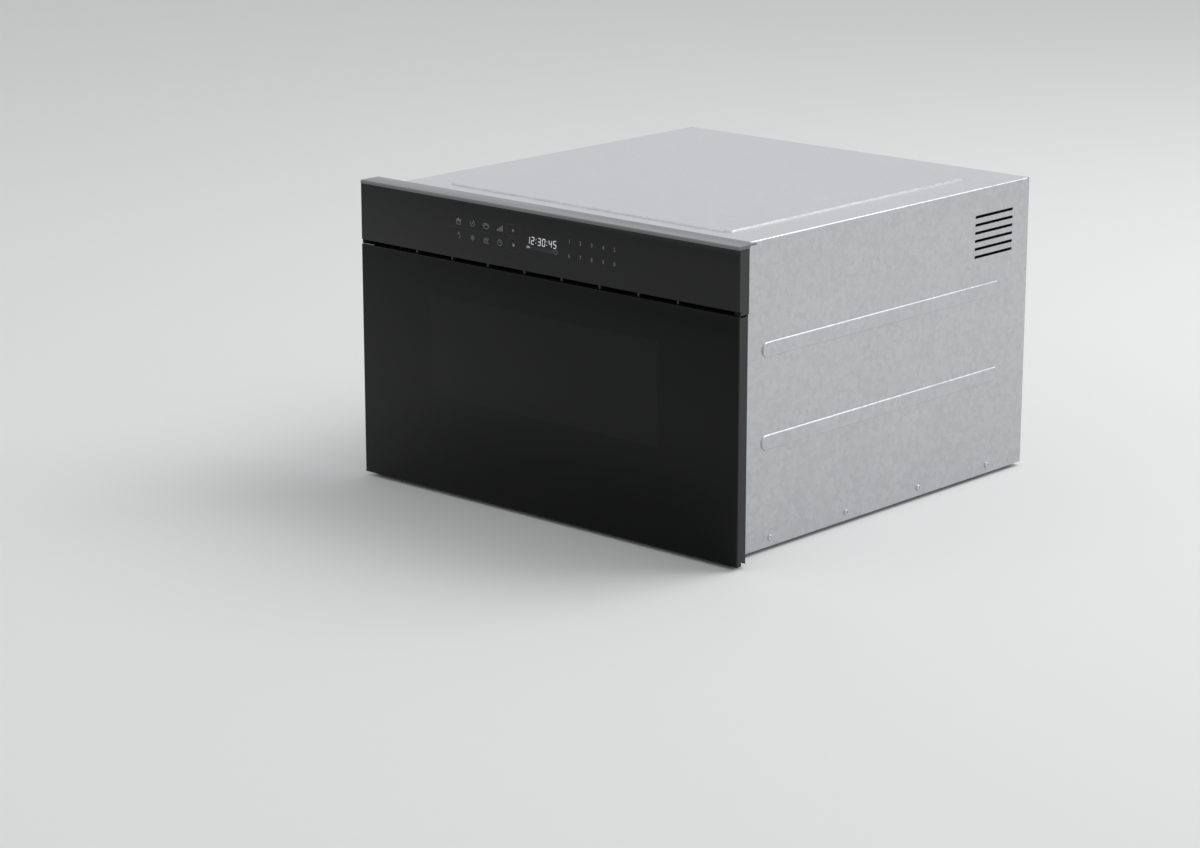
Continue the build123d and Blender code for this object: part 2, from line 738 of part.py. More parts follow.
# Magnetron: yoke open to the air on two sides, fins round the anode, magnets, filter box, antenna
yoke_top_z = oven_out_top_z
yoke_z = yoke_top_z - yoke_height
yoke_sheet = 2.0
anode_radius = 20.0
fin_end_gap = 20.0
fin_side_gap = 3.0
fin_sheet = 0.8
magnet_radius = 28.0
magnet_height = 12.0
filter_height = 34.0
filter_share = 0.7
filter_corner = 4.0
antenna_share = 0.65
antenna_edge = 3.0
with BuildPart() as magnetron:
    with BuildSketch(side(-magnetron_width / 2)):
        with Locations((bay_mid_y, yoke_z + yoke_height / 2)):
            Rectangle(magnetron_depth, yoke_height)
            Rectangle(magnetron_depth - 2 * yoke_sheet, yoke_height - 2 * yoke_sheet,
                      mode=Mode.SUBTRACT)
    extrude(amount=magnetron_width)
    with BuildSketch(level(yoke_z)):
        with Locations((0, bay_mid_y)):
            Circle(anode_radius)
    extrude(amount=yoke_height)
    fin_pitch = (yoke_height - 2 * fin_end_gap) / (fin_count - 1)
    for i in range(fin_count):
        with BuildSketch(level(yoke_z + fin_end_gap + i * fin_pitch - fin_sheet / 2)):
            with Locations((0, bay_mid_y)):
                Rectangle(magnetron_width - 2 * fin_side_gap, magnetron_depth - 2 * yoke_sheet)
        extrude(amount=fin_sheet)
    for z in (yoke_z + yoke_sheet, yoke_top_z - yoke_sheet - magnet_height):
        with BuildSketch(level(z)):
            with Locations((0, bay_mid_y)):
                Circle(magnet_radius)
        extrude(amount=magnet_height)
    with BuildSketch(level(yoke_z - filter_height)):
        with Locations((0, bay_mid_y)):
            RectangleRounded(filter_share * magnetron_width, filter_share * magnetron_depth, filter_corner)
    extrude(amount=filter_height)
    with BuildSketch(level(yoke_top_z)):
        with Locations((0, bay_mid_y)):
            Circle(antenna_radius)
    extrude(amount=antenna_share * guide_height)
    fillet(magnetron.edges().group_by(Axis.Z)[-1], antenna_edge)
finish(magnetron, "magnetron")

# High voltage transformer: laminated core on a foot plate, with its winding standing proud
core_case_gap = 107.0
core_x = cover_in_x - core_case_gap
core_width = 104.0
core_depth = 58.0
core_height = 86.0
foot_sheet = 2.0
foot_reach = 18.0
foot_corner = 5.0
winding_step = 13.0
winding_reach = 19.0
winding_corner = 14.0
windings = ((14.0, 22.0), (46.0, 28.0))
with BuildPart() as hv_transformer:
    with BuildSketch(level(pan_top_z)):
        with Locations((core_x, bay_mid_y)):
            RectangleRounded(core_width, core_depth + 2 * foot_reach, foot_corner)
    extrude(amount=foot_sheet)
    with BuildSketch(level(pan_top_z + foot_sheet)):
        with Locations((core_x, bay_mid_y)):
            Rectangle(core_width, core_depth)
    extrude(amount=core_height)
    for z, rise in windings:
        with BuildSketch(level(pan_top_z + foot_sheet + z)):
            with Locations((core_x, bay_mid_y)):
                RectangleRounded(core_width - 2 * winding_step, core_depth + 2 * winding_reach,
                                 winding_corner)
        extrude(amount=rise)
finish(hv_transformer, "hv_transformer")

# High voltage capacitor: oval can lying in a clamp on the pan
can_core_gap = 110.0
can_x = core_x - can_core_gap
can_width = 52.0
can_height = 32.0
can_length = 88.0
clamp_sheet = 1.0
clamp_width = 16.0
clamp_foot = 12.0
tag_length = 10.0
tag_spacing = 22.0
tag_width = 6.0
tag_sheet = 1.0
with BuildPart() as hv_capacitor:
    can_z = pan_top_z + clamp_sheet + can_height / 2
    with BuildSketch(facing(bay_mid_y - can_length / 2)):
        with Locations((can_x, can_z)):
            SlotOverall(can_width, can_height)
    extrude(amount=can_length, dir=BACK)
    with BuildSketch(facing(bay_mid_y - clamp_width / 2)):
        with Locations((can_x, can_z)):
            SlotOverall(can_width + 2 * clamp_sheet, can_height + 2 * clamp_sheet)
        with Locations((can_x, pan_top_z + clamp_sheet)):
            Rectangle(can_width + 2 * clamp_foot, 2 * clamp_sheet)
    extrude(amount=clamp_width, dir=BACK)
    with BuildSketch(facing(bay_mid_y - can_length / 2 - tag_length)):
        with Locations((can_x, can_z)):
            with GridLocations(tag_spacing, 0, 2, 1):
                Rectangle(tag_width, tag_sheet)
    extrude(amount=tag_length, dir=BACK)
finish(hv_capacitor, "hv_capacitor")

# High voltage diode: moulded block with an eyelet screwed to the pan
diode_x = can_x - 62.0
diode_y = bay_mid_y - 20.0
diode_width = 9.0
diode_length = 22.0
diode_height = 8.0
diode_corner = 2.0
eyelet_y = diode_y + 18.0
eyelet_radius = 5.0
eyelet_bore = 2.1
eyelet_sheet = 0.8
eyelet_neck = 3.0
with BuildPart() as hv_diode:
    with BuildSketch(level(pan_top_z)):
        with Locations((diode_x, diode_y)):
            RectangleRounded(diode_width, diode_length, diode_corner)
    extrude(amount=diode_height)
    with BuildSketch(level(pan_top_z)):
        with Locations((diode_x, eyelet_y)):
            Circle(eyelet_radius)
            Rectangle(eyelet_neck, diode_length)
        with Locations((diode_x, eyelet_y)):
            Circle(eyelet_bore, mode=Mode.SUBTRACT)
    extrude(amount=eyelet_sheet)
finish(hv_diode, "hv_diode")

# Fan bulkhead: plate across the rear bay, with a flared ring round the fan
fan_z = yoke_z + yoke_height / 2
bulkhead_sheet = 1.5
ring_depth = 16.0
bulkhead_foot = 14.0
bulkhead_foot_share = 0.8
with BuildPart() as fan_bulkhead:
    with BuildSketch(side(bulkhead_x)):
        with Locations((bay_mid_y, (pan_top_z + case_top_z - cover_sheet) / 2)):
            Rectangle(bay_depth, case_top_z - cover_sheet - pan_top_z)
        with Locations((bay_mid_y, fan_z)):
            Circle(fan_radius + fan_tip_gap, mode=Mode.SUBTRACT)
    extrude(amount=bulkhead_sheet)
    with BuildSketch(side(bulkhead_x)):
        with Locations((bay_mid_y, fan_z)):
            Circle(fan_radius + fan_tip_gap + bulkhead_sheet)
            Circle(fan_radius + fan_tip_gap, mode=Mode.SUBTRACT)
    extrude(amount=ring_depth)
    with BuildSketch(level(pan_top_z)):
        with Locations((bulkhead_x - bulkhead_foot / 2, bay_mid_y)):
            Rectangle(bulkhead_foot, bulkhead_foot_share * bay_depth)
    extrude(amount=bulkhead_sheet)
finish(fan_bulkhead, "fan_bulkhead")

# Cooling fan: hub, shaft and twisted blades
fan_hub_radius = 17.0
fan_hub_length = 16.0
fan_hub_edge = 2.0
blade_thickness = 1.4
# Radius, pitch and chord of a blade where it starts in the hub and where it's trimmed beyond the tip
blade_sections = ((fan_hub_radius - 3, 52.0, 22.0), (fan_radius + 2, 66.0, 46.0))
fan_x = bulkhead_x + 1
fan_shaft_length = 34.0
with BuildPart() as cooling_fan:
    with BuildSketch(side(fan_x)):
        with Locations((bay_mid_y, fan_z)):
            Circle(fan_hub_radius)
    extrude(amount=fan_hub_length)
    chamfer(cooling_fan.edges().group_by(Axis.X)[-1], fan_hub_edge)
    for i in range(fan_blades):
        turn = 2 * pi * i / fan_blades
        for radius, pitch, chord in blade_sections:
            twist = radians(pitch)
            out = Vector(0, sin(turn), cos(turn))
            along = Vector(cos(twist), sin(twist) * cos(turn), -sin(twist) * sin(turn))
            hub_centre = Vector(fan_x + fan_hub_length / 2, bay_mid_y, fan_z)
            with BuildSketch(Plane(origin=hub_centre + out * radius, x_dir=along, z_dir=out)):
                Rectangle(chord, blade_thickness)
        loft()
    with BuildSketch(side(fan_x - fan_shaft_length)):
        with Locations((bay_mid_y, fan_z)):
            Circle(fan_shaft_radius)
    extrude(amount=fan_shaft_length + fan_hub_length / 2)
    # Blade tips trimmed to the ring
    with BuildSketch(side(fan_x - fan_shaft_length)):
        with Locations((bay_mid_y, fan_z)):
            Circle(fan_radius)
    extrude(amount=fan_shaft_length + fan_hub_length + fan_radius, mode=Mode.INTERSECT)
finish(cooling_fan, "cooling_fan")

# Fan motor: shaded-pole stack and coil, on a three-legged spider screwed to the bulkhead
stack_width = 48.0
stack_height = 56.0
stack_length = 16.0
stack_corner = 4.0
stack_x = bulkhead_x - 2 * stack_length
hub_radius = 16.0
hub_rear = 8.0
hub_length = 30.0
coil_width = 30.0
coil_height = 26.0
coil_length = 28.0
coil_drop = 34.0
spider_legs = 3
spider_lap = 4.0
spider_sheet = 2.0
spider_width = 8.0
leg_width = 10.0
leg_thickness = 6.0
with BuildPart() as fan_motor:
    with BuildSketch(side(stack_x)):
        with Locations((bay_mid_y, fan_z)):
            RectangleRounded(stack_width, stack_height, stack_corner)
    extrude(amount=stack_length)
    with BuildSketch(side(stack_x - hub_rear)):
        with Locations((bay_mid_y, fan_z)):
            Circle(hub_radius)
    extrude(amount=hub_length)
    with BuildSketch(side(stack_x + (stack_length - coil_length) / 2)):
        with Locations((bay_mid_y, fan_z - coil_drop)):
            RectangleRounded(coil_width, coil_height, stack_corner)
    extrude(amount=coil_length)
    spider_x = stack_x + stack_length
    spider_radius = fan_radius + fan_tip_gap + bulkhead_sheet + spider_lap
    with BuildSketch(side(spider_x)):
        with Locations((bay_mid_y, fan_z)):
            Circle(hub_radius + spider_sheet)
            with PolarLocations(0, spider_legs, start_angle=90):
                Rectangle(spider_radius, spider_width, align=(Align.MIN, Align.CENTER))
    extrude(amount=spider_sheet)
    with BuildSketch(side(spider_x)):
        with Locations((bay_mid_y, fan_z)):
            with PolarLocations(spider_radius, spider_legs, start_angle=90):
                Rectangle(leg_thickness, leg_width)
    extrude(amount=bulkhead_x - spider_x)
    with BuildSketch(side(stack_x - hub_rear)):
        with Locations((bay_mid_y, fan_z)):
            Circle(fan_shaft_radius + running_gap)
    extrude(amount=hub_length, mode=Mode.SUBTRACT)
finish(fan_motor, "fan_motor")

# Air duct: from the magnetron's side forward over the oven, then across behind the vent grille
duct_side_gap = 33.0
duct_chamber_gap = 12.0
duct_rear_gap = 10.0
duct_in_x = chamber_width / 2 + duct_chamber_gap
duct_out_x = cover_in_x - duct_side_gap
manifold_depth = 60.0
duct_front_y = frame_back_y + grille_depth
duct_rear_y = oven_out_back_y - duct_rear_gap
with BuildPart() as air_duct:
    with BuildSketch(level(oven_out_top_z)):
        with Locations((0, duct_front_y)):
            Rectangle(2 * duct_out_x, manifold_depth, align=(Align.CENTER, Align.MIN))
        with Locations((duct_in_x, duct_front_y)):
            Rectangle(duct_out_x - duct_in_x, duct_rear_y - duct_front_y, align=(Align.MIN, Align.MIN))
    extrude(amount=duct_height)
    with BuildSketch(level(oven_out_top_z + duct_wall)):
        with Locations((0, duct_front_y)):
            Rectangle(2 * (duct_out_x - duct_wall), manifold_depth - duct_wall,
                      align=(Align.CENTER, Align.MIN))
        with Locations((duct_in_x + duct_wall, duct_front_y)):
            Rectangle(duct_out_x - duct_in_x - 2 * duct_wall, duct_rear_y - duct_front_y,
                      align=(Align.MIN, Align.MIN))
    extrude(amount=duct_height - 2 * duct_wall, mode=Mode.SUBTRACT)
finish(air_duct, "air_duct")

# Noise filter: board on standoffs at the rear panel, with its choke, fuse and capacitor
board_sheet = 1.6
standoff = 6.0
filter_case_gap = 72.0
filter_x = filter_case_gap - cover_in_x
filter_z = 205.0
filter_width = 90.0
filter_length = 70.0
board_corner = 3.0
post_radius = 3.0
post_edge = 7.0
# Choke, film capacitor and fuse: place, width, height and rise from the board
filter_parts = ((-22, 12, 24, 24, 20), (14, -16, 26, 12, 14), (20, 16, 22, 8, 8))
with BuildPart() as noise_filter:
    board_y = rear_in_y - standoff
    with BuildSketch(facing(board_y)):
        with Locations((filter_x, filter_z)):
            with GridLocations(filter_width - 2 * post_edge, filter_length - 2 * post_edge, 2, 2):
                Circle(post_radius)
    extrude(amount=standoff, dir=BACK)
    with BuildSketch(facing(board_y - board_sheet)):
        with Locations((filter_x, filter_z)):
            RectangleRounded(filter_width, filter_length, board_corner)
    extrude(amount=board_sheet, dir=BACK)
    for x, z, w, h, rise in filter_parts:
        with BuildSketch(facing(board_y - board_sheet - rise)):
            with Locations((filter_x + x, filter_z + z)):
                RectangleRounded(w, h, board_corner)
        extrude(amount=rise, dir=BACK)
finish(noise_filter, "noise_filter")

# Oven lamp: holder and bulb outside the left wall
lamp_box = 46.0
lamp_box_wall = 3.0
lamp_box_corner = 5.0
lamp_box_depth = 12.0
lamp_plate = 2.0
bulb_radius = 6.0
bulb_length = 9.0
socket_radius = 11.0
socket_length = 20.0
with BuildPart() as oven_lamp:
    lamp_x = -oven_width / 2 - oven_sheet
    plate_x = lamp_x - lamp_box_depth - lamp_plate
    with BuildSketch(side(lamp_x - lamp_box_depth)):
        with Locations((lamp_y, lamp_z)):
            RectangleRounded(lamp_box, lamp_box, lamp_box_corner)
            RectangleRounded(lamp_box - 2 * lamp_box_wall, lamp_box - 2 * lamp_box_wall,
                             lamp_box_corner - 1, mode=Mode.SUBTRACT)
    extrude(amount=lamp_box_depth)
    with BuildSketch(side(plate_x)):
        with Locations((lamp_y, lamp_z)):
            RectangleRounded(lamp_box, lamp_box, lamp_box_corner)
    extrude(amount=lamp_plate)
    with BuildSketch(side(plate_x)):
        with Locations((lamp_y, lamp_z)):
            Circle(bulb_radius)
    extrude(amount=bulb_length)
    with BuildSketch(side(plate_x - socket_length)):
        with Locations((lamp_y, lamp_z)):
            Circle(socket_radius)
    extrude(amount=socket_length)
finish(oven_lamp, "oven_lamp")

# Thermal cut-outs: two on the oven's ceiling, one in front and one towards the magnetron
cutout_x = -130.0
cutout_radius = 8.0
cutout_height = 9.0
cutout_ear_spacing = 26.0
cutout_ear_width = 7.0
cutout_ear_sheet = 1.5
cutout_front_gap = 30.0
cutout_rear_gap = 40.0
with BuildPart() as thermal_cutouts:
    for y in (duct_front_y + manifold_depth + cutout_front_gap, oven_out_back_y - cutout_rear_gap):
        with BuildSketch(level(oven_out_top_z)):
            with Locations((cutout_x, y)):
                Circle(cutout_radius)
                SlotCenterToCenter(cutout_ear_spacing, cutout_ear_width)
        extrude(amount=cutout_ear_sheet)
        with BuildSketch(level(oven_out_top_z)):
            with Locations((cutout_x, y)):
                Circle(cutout_radius)
        extrude(amount=cutout_height)
finish(thermal_cutouts, "thermal_cutouts")

# Control board: relays, small transformer and connectors, on standoffs behind the frame
board_width = 270.0
board_gap = 4.0
board_post_x = 250.0
board_post_edge = 5.0
board_part_edge = 3.0
board_part_corner = 1.5
# Transformer, three relays, connector and triac block: place, width, height and rise from the board
board_parts = ((-100, 34, 36, 32), (-55, 20, 28, 16), (-28, 20, 28, 16), (5, 20, 28, 16),
               (60, 44, 12, 10), (108, 26, 22, 14))
with BuildPart() as control_board:
    board_y = frame_back_y + standoff
    board_height = case_top_z - cover_sheet - (oven_out_top_z + duct_height) - 2 * board_gap
    board_z = oven_out_top_z + duct_height + board_gap + board_height / 2
    with BuildSketch(facing(frame_back_y)):
        with Locations((0, board_z)):
            with GridLocations(board_post_x, board_height - 2 * board_post_edge, 2, 2):
                Circle(post_radius)
    extrude(amount=standoff, dir=BACK)
    with BuildSketch(facing(board_y)):
        with Locations((0, board_z)):
            RectangleRounded(board_width, board_height, board_corner)
    extrude(amount=board_sheet, dir=BACK)
    for x, w, h, rise in board_parts:
        with BuildSketch(facing(board_y + board_sheet)):
            with Locations((x, board_z)):
                RectangleRounded(w, min(h, board_height - 2 * board_part_edge), board_part_corner)
        extrude(amount=rise, dir=BACK)
finish(control_board, "control_board")

# Control housing: shallow plastic carrier, open at the back, behind the control glass; its ribs
# stand in the gap above the drawer, in line with the grille's, and a lip closes the gap at each end
housing_wall = 2.0
housing_inset = 1.0
housing_corner = 1.5
housing_lip = 6.0
lip_gap = 0.4
web_share = 0.25
web_count = 4
display_x = 1.75
display_drop = 34.6
display_width = 56.0
display_height = 22.0
display_z = panel_top_z - display_drop
key_board_width = 300.0
key_board_height = 44.0
key_board_gap = 0.5
with BuildPart() as control_housing:
    housing_height = panel_height - housing_inset
    housing_z = panel_top_z - housing_height / 2
    housing_depth = frame_y - glass_back_y
    with BuildSketch(facing(glass_back_y)):
        with Locations((0, housing_z)):
            RectangleRounded(overall_width - 2 * housing_inset, housing_height, housing_corner)
    extrude(amount=housing_depth, dir=BACK)
    with BuildSketch(facing(glass_back_y + housing_wall)):
        with Locations((0, housing_z)):
            Rectangle(overall_width - 2 * (housing_inset + housing_wall), housing_height - 2 * housing_wall)
            with GridLocations(web_share * overall_width, 0, web_count, 1):
                Rectangle(housing_wall, housing_height, mode=Mode.SUBTRACT)
    extrude(amount=housing_depth, dir=BACK, mode=Mode.SUBTRACT)
    with BuildSketch(facing(glass_back_y)):
        with Locations((display_x, panel_mid_z)):
            Rectangle(key_board_width + 2 * key_board_gap, key_board_height + 2 * key_board_gap)
    extrude(amount=housing_depth - housing_wall, dir=BACK, mode=Mode.SUBTRACT)
    lip_z = drawer_top_z + lip_gap
    with BuildSketch(facing(glass_back_y)):
        for sign in (-1, 1):
            with Locations((sign * (half_width - housing_inset - housing_lip / 2), lip_z)):
                Rectangle(housing_lip, panel_bottom_z + housing_inset + housing_wall - lip_z,
                          align=(Align.CENTER, Align.MIN))
        with Locations((0, lip_z)):
            with GridLocations(rib_spacing, 0, rib_count, 1):
                Rectangle(rib_width, panel_bottom_z + housing_inset + housing_wall - lip_z,
                          align=(Align.CENTER, Align.MIN))
    extrude(amount=housing_depth, dir=BACK)
finish(control_housing, "control_housing")

# Control glass: flush tempered touch panel
with BuildPart() as control_glass:
    with BuildSketch(facing(front_y)):
        with Locations((0, panel_mid_z)):
            Rectangle(overall_width, panel_height)
    extrude(amount=glass_thickness, dir=BACK)
    chamfer(control_glass.faces().sort_by(Axis.Y)[0].edges(), glass_edge)
finish(control_glass, "control_glass")

# Touch key board: sensor board pressed against the glass, with an opening for the display
display_gap = 0.3
key_board_corner = 2.0
key_plug_x = 90.0
key_plug_width = 30.0
key_plug_height = 8.0
key_plug_rise = 6.0
with BuildPart() as touch_key_board:
    with BuildSketch(facing(glass_back_y)):
        with Locations((display_x, panel_mid_z)):
            RectangleRounded(key_board_width, key_board_height, key_board_corner)
        with Locations((display_x, display_z)):
            Rectangle(display_width + 2 * display_gap, display_height + 2 * display_gap,
                      mode=Mode.SUBTRACT)
    extrude(amount=board_sheet, dir=BACK)
    with BuildSketch(facing(glass_back_y + board_sheet)):
        with Locations((display_x, panel_mid_z)):
            with GridLocations(2 * key_plug_x, 0, 2, 1):
                Rectangle(key_plug_width, key_plug_height)
    extrude(amount=key_plug_rise, dir=BACK)
finish(touch_key_board, "touch_key_board")

# Display module: glass cell in a bezel, seen through the control glass
display_thickness = 7.0
display_corner = 1.0
display_plug_inset = 4.0
display_plug_height = 5.0
display_plug_rise = 3.0
with BuildPart() as display_module:
    with BuildSketch(facing(glass_back_y)):
        with Locations((display_x, display_z)):
            RectangleRounded(display_width, display_height, display_corner)
    extrude(amount=display_thickness, dir=BACK)
    with BuildSketch(facing(glass_back_y + display_thickness)):
        with Locations((display_x, display_z)):
            Rectangle(display_width - 2 * display_plug_inset, display_plug_height)
    extrude(amount=display_plug_rise, dir=BACK)
finish(display_module, "display_module")

# Top trim: slim angle over the control panel, with a bright chamfered front edge
trim_sheet = 1.5
trim_chamfer = 1.2
trim_return = 10.0
with BuildPart() as top_trim:
    with BuildSketch(side(-half_width)):
        with BuildLine():
            Polyline(
                (front_y, panel_top_z),
                (front_y, overall_height),
                (frame_back_y + trim_return, overall_height),
                (frame_back_y + trim_return, overall_height - trim_sheet),
                (frame_y, overall_height - trim_sheet),
                (frame_y, panel_top_z),
                close=True,
            )
        make_face()
    extrude(amount=overall_width)
    bright = top_trim.edges().filter_by(Axis.X).group_by(Axis.Y)[0].sort_by(Axis.Z)[-1]
    chamfer(bright, trim_chamfer)
finish(top_trim, "top_trim")

# Drawer glass: black tempered front with eased edges
with BuildPart() as drawer_glass:
    with BuildSketch(facing(front_y)):
        with Locations((0, drawer_mid_z)):
            Rectangle(overall_width, drawer_height)
    extrude(amount=glass_thickness, dir=BACK)
    chamfer(drawer_glass.faces().sort_by(Axis.Y)[0].edges(), glass_edge)
finish(drawer_glass, "drawer_glass")

# Door frame: pressed steel pan behind the glass, open to the rear, with the window opening
door_inset = 2.0
door_wall = 1.5
door_corner = 3.0
screen_edge = 9.0
pad_edge = 3.0
latch_pad_width = 18.0
latch_pad_height = 60.0
with BuildPart() as door_frame:
    door_depth = front_thickness - glass_thickness
    with BuildSketch(facing(glass_back_y)):
        with Locations((0, drawer_mid_z)):
            RectangleRounded(overall_width - 2 * door_inset, drawer_height - 2 * door_inset, door_corner)
    extrude(amount=door_depth, dir=BACK)
    with BuildSketch(facing(glass_back_y + door_wall)):
        with Locations((0, drawer_mid_z)):
            Rectangle(overall_width - 2 * (door_inset + door_wall),
                      drawer_height - 2 * (door_inset + door_wall))
    extrude(amount=door_depth, dir=BACK, mode=Mode.SUBTRACT)
    with BuildSketch(facing(glass_back_y)):
        with Locations((0, window_mid_z)):
            Rectangle(window_width, window_height)
    extrude(amount=door_wall, dir=BACK, mode=Mode.SUBTRACT)
    # Pads for the arms' feet and the latch hooks
    pad_width = arm_in_x + arm_sheet - rack_in_x + 2 * pad_edge
    pad_x = (arm_in_x + arm_sheet + rack_in_x) / 2
    with BuildSketch(facing(door_back_y)):
        for sign in (-1, 1):
            with Locations((sign * pad_x, rail_mid_z)):
                Rectangle(pad_width, rail_height)
            with Locations((sign * latch_x, latch_z)):
                Rectangle(latch_pad_width, latch_pad_height)
    extrude(amount=-(door_depth - door_wall), dir=BACK)
finish(door_frame, "door_frame")

# Choke frame: quarter-wave choke round the oven opening, its inner wall cut into a comb of slits
choke_out_width = oven_width + 2 * choke_width
choke_out_height = oven_height + 2 * choke_width
choke_y = glass_back_y + door_wall
choke_back_y = door_back_y - choke_cover_thickness
choke_depth = choke_back_y - choke_y
throat_width = tub_width - 2 * tub_side_gap
throat_height = oven_height - 8
window_corner = 4.0
comb_setback = 2.0
comb_reach = 2.0
comb_web = 8.0
screen_width = window_width + 2 * screen_edge
screen_height = window_height + 2 * screen_edge
with BuildPart() as choke_frame:
    with BuildSketch(facing(choke_y)):
        with Locations((0, oven_mid_z)):
            RectangleRounded(choke_out_width, choke_out_height, oven_corner)
        with Locations((0, window_mid_z)):
            RectangleRounded(screen_width, screen_height, window_corner, mode=Mode.SUBTRACT)
    extrude(amount=choke_wall, dir=BACK)
    with BuildSketch(facing(choke_y)):
        with Locations((0, oven_mid_z)):
            RectangleRounded(choke_out_width, choke_out_height, oven_corner)
            RectangleRounded(choke_out_width - 2 * choke_wall, choke_out_height - 2 * choke_wall,
                             oven_corner - choke_wall, mode=Mode.SUBTRACT)
            RectangleRounded(throat_width, throat_height, oven_corner)
            RectangleRounded(throat_width - 2 * choke_wall, throat_height - 2 * choke_wall,
                             oven_corner - choke_wall, mode=Mode.SUBTRACT)
    extrude(amount=choke_depth, dir=BACK)
    with BuildSketch(facing(choke_y + choke_wall + comb_setback)):
        with Locations((0, oven_mid_z)):
            with GridLocations(choke_pitch, 0, int(throat_width / choke_pitch) - 1, 1):
                Rectangle(choke_slit, throat_height + comb_reach)
            with GridLocations(0, choke_pitch, 1, int(throat_height / choke_pitch) - 1):
                Rectangle(throat_width + comb_reach, choke_slit)
            Rectangle(throat_width - comb_web, throat_height - comb_web, mode=Mode.SUBTRACT)
    extrude(amount=choke_depth, dir=BACK, mode=Mode.SUBTRACT)
finish(choke_frame, "choke_frame")

# Choke cover: thin plastic ring over the choke
cover_lap = 0.5
with BuildPart() as choke_cover:
    with BuildSketch(facing(choke_back_y)):
        with Locations((0, oven_mid_z)):
            RectangleRounded(choke_out_width + 2 * cover_lap, choke_out_height + 2 * cover_lap, oven_corner)
        with Locations((0, window_mid_z)):
            RectangleRounded(screen_width, screen_height, window_corner, mode=Mode.SUBTRACT)
    extrude(amount=choke_cover_thickness, dir=BACK)
finish(choke_cover, "choke_cover")

# Window screen: perforated sheet behind the window, held between the door frame and the choke
screen_sheet = 0.6
with BuildPart() as window_screen:
    with BuildSketch(facing(choke_y)):
        with Locations((0, window_mid_z)):
            Rectangle(window_width + screen_edge, window_height + screen_edge)
    extrude(amount=screen_sheet, dir=BACK)
finish(window_screen, "window_screen")

# Window pane: clear inner pane, held behind the choke cover's opening
pane_thickness = 3.0
pane_edge = 8.0
pane_corner = 6.0
with BuildPart() as window_pane:
    with BuildSketch(facing(choke_back_y - pane_thickness)):
        with Locations((0, window_mid_z)):
            RectangleRounded(screen_width + pane_edge, screen_height + pane_edge, pane_corner)
    extrude(amount=pane_thickness, dir=BACK)
finish(window_pane, "window_pane")

# Drawer tub: moulded open-topped box with drafted walls, a rolled rim and a window in its front
rim_height = 3.0
tub_window_drop = 16.0
tub_window_corner = 6.0
strip_share = 0.8
strip_rise = 11.0
strip_width = 10.0
tub_lean = tub_height * tan(radians(tub_draft))
with BuildPart() as drawer_tub:
    with BuildSketch(level(tub_top_z)):
        with Locations((0, tub_mid_y)):
            RectangleRounded(tub_width - 2 * tub_lip, tub_depth - 2 * tub_lip, tub_corner)
    extrude(amount=-tub_height, taper=tub_draft)
    fillet(drawer_tub.edges().group_by(Axis.Z)[0], tub_foot_radius)
    with BuildSketch(level(tub_top_z)):
        with Locations((0, tub_mid_y)):
            RectangleRounded(tub_width - 2 * tub_lip - 2 * tub_wall, tub_depth - 2 * tub_lip - 2 * tub_wall,
                             tub_corner - tub_wall)
    extrude(amount=-(tub_height - tub_wall), taper=tub_draft, mode=Mode.SUBTRACT)
    inner_foot = drawer_tub.edges().filter_by_position(
        Axis.Z, tub_floor_z + tub_wall - 0.01, tub_floor_z + tub_wall + 0.01)
    fillet(inner_foot, tub_foot_radius - tub_wall)
    with BuildSketch(level(tub_top_z - rim_height)):
        with Locations((0, tub_mid_y)):
            RectangleRounded(tub_width, tub_depth, tub_corner + tub_lip)
            RectangleRounded(tub_width - 2 * tub_lip - 2 * tub_wall, tub_depth - 2 * tub_lip - 2 * tub_wall,
                             tub_corner - tub_wall, mode=Mode.SUBTRACT)
    extrude(amount=rim_height)
    # Opening in front of the window pane
    with BuildSketch(facing(door_back_y)):
        with Locations((0, window_mid_z)):
            RectangleRounded(window_width, window_height - tub_window_drop, tub_window_corner)
    extrude(amount=tub_lip + tub_lean + tub_wall, dir=BACK, mode=Mode.SUBTRACT)
    # Boss strip low on the front that meets the door
    with BuildSketch(facing(door_back_y)):
        with Locations((0, tub_floor_z + strip_rise)):
            Rectangle(strip_share * tub_width, strip_width)
    extrude(amount=tub_lip + tub_lean + tub_wall / 2, dir=BACK)
finish(drawer_tub, "drawer_tub")

# Ceramic tray: flat base plate lying in the tub
tray_margin = tub_lean + tub_foot_radius - tub_wall + tray_gap
tray_edge = 1.2
tray_width = tub_inner_width - 2 * tray_margin
tray_depth = tub_inner_depth - 2 * tray_margin
with BuildPart() as ceramic_tray:
    with BuildSketch(level(tub_floor_z + tub_wall)):
        with Locations((0, tub_mid_y)):
            RectangleRounded(tray_width, tray_depth, tub_corner)
    extrude(amount=tray_thickness)
    fillet(ceramic_tray.edges().group_by(Axis.Z)[-1], tray_edge)
finish(ceramic_tray, "ceramic_tray")

# Tub glides: low-friction pads under the tub, on the oven's runners
glide_length = 40.0
glide_width = 12.0
glide_end_gap = 60.0
with BuildPart() as tub_glides:
    with BuildSketch(level(tub_floor_z - glide_height)):
        with Locations((0, tub_mid_y)):
            with GridLocations(2 * runner_offset, tub_depth - 2 * glide_end_gap, 2, 2):
                SlotOverall(glide_length, glide_width, rotation=90)
    extrude(amount=glide_height)
finish(tub_glides, "tub_glides")

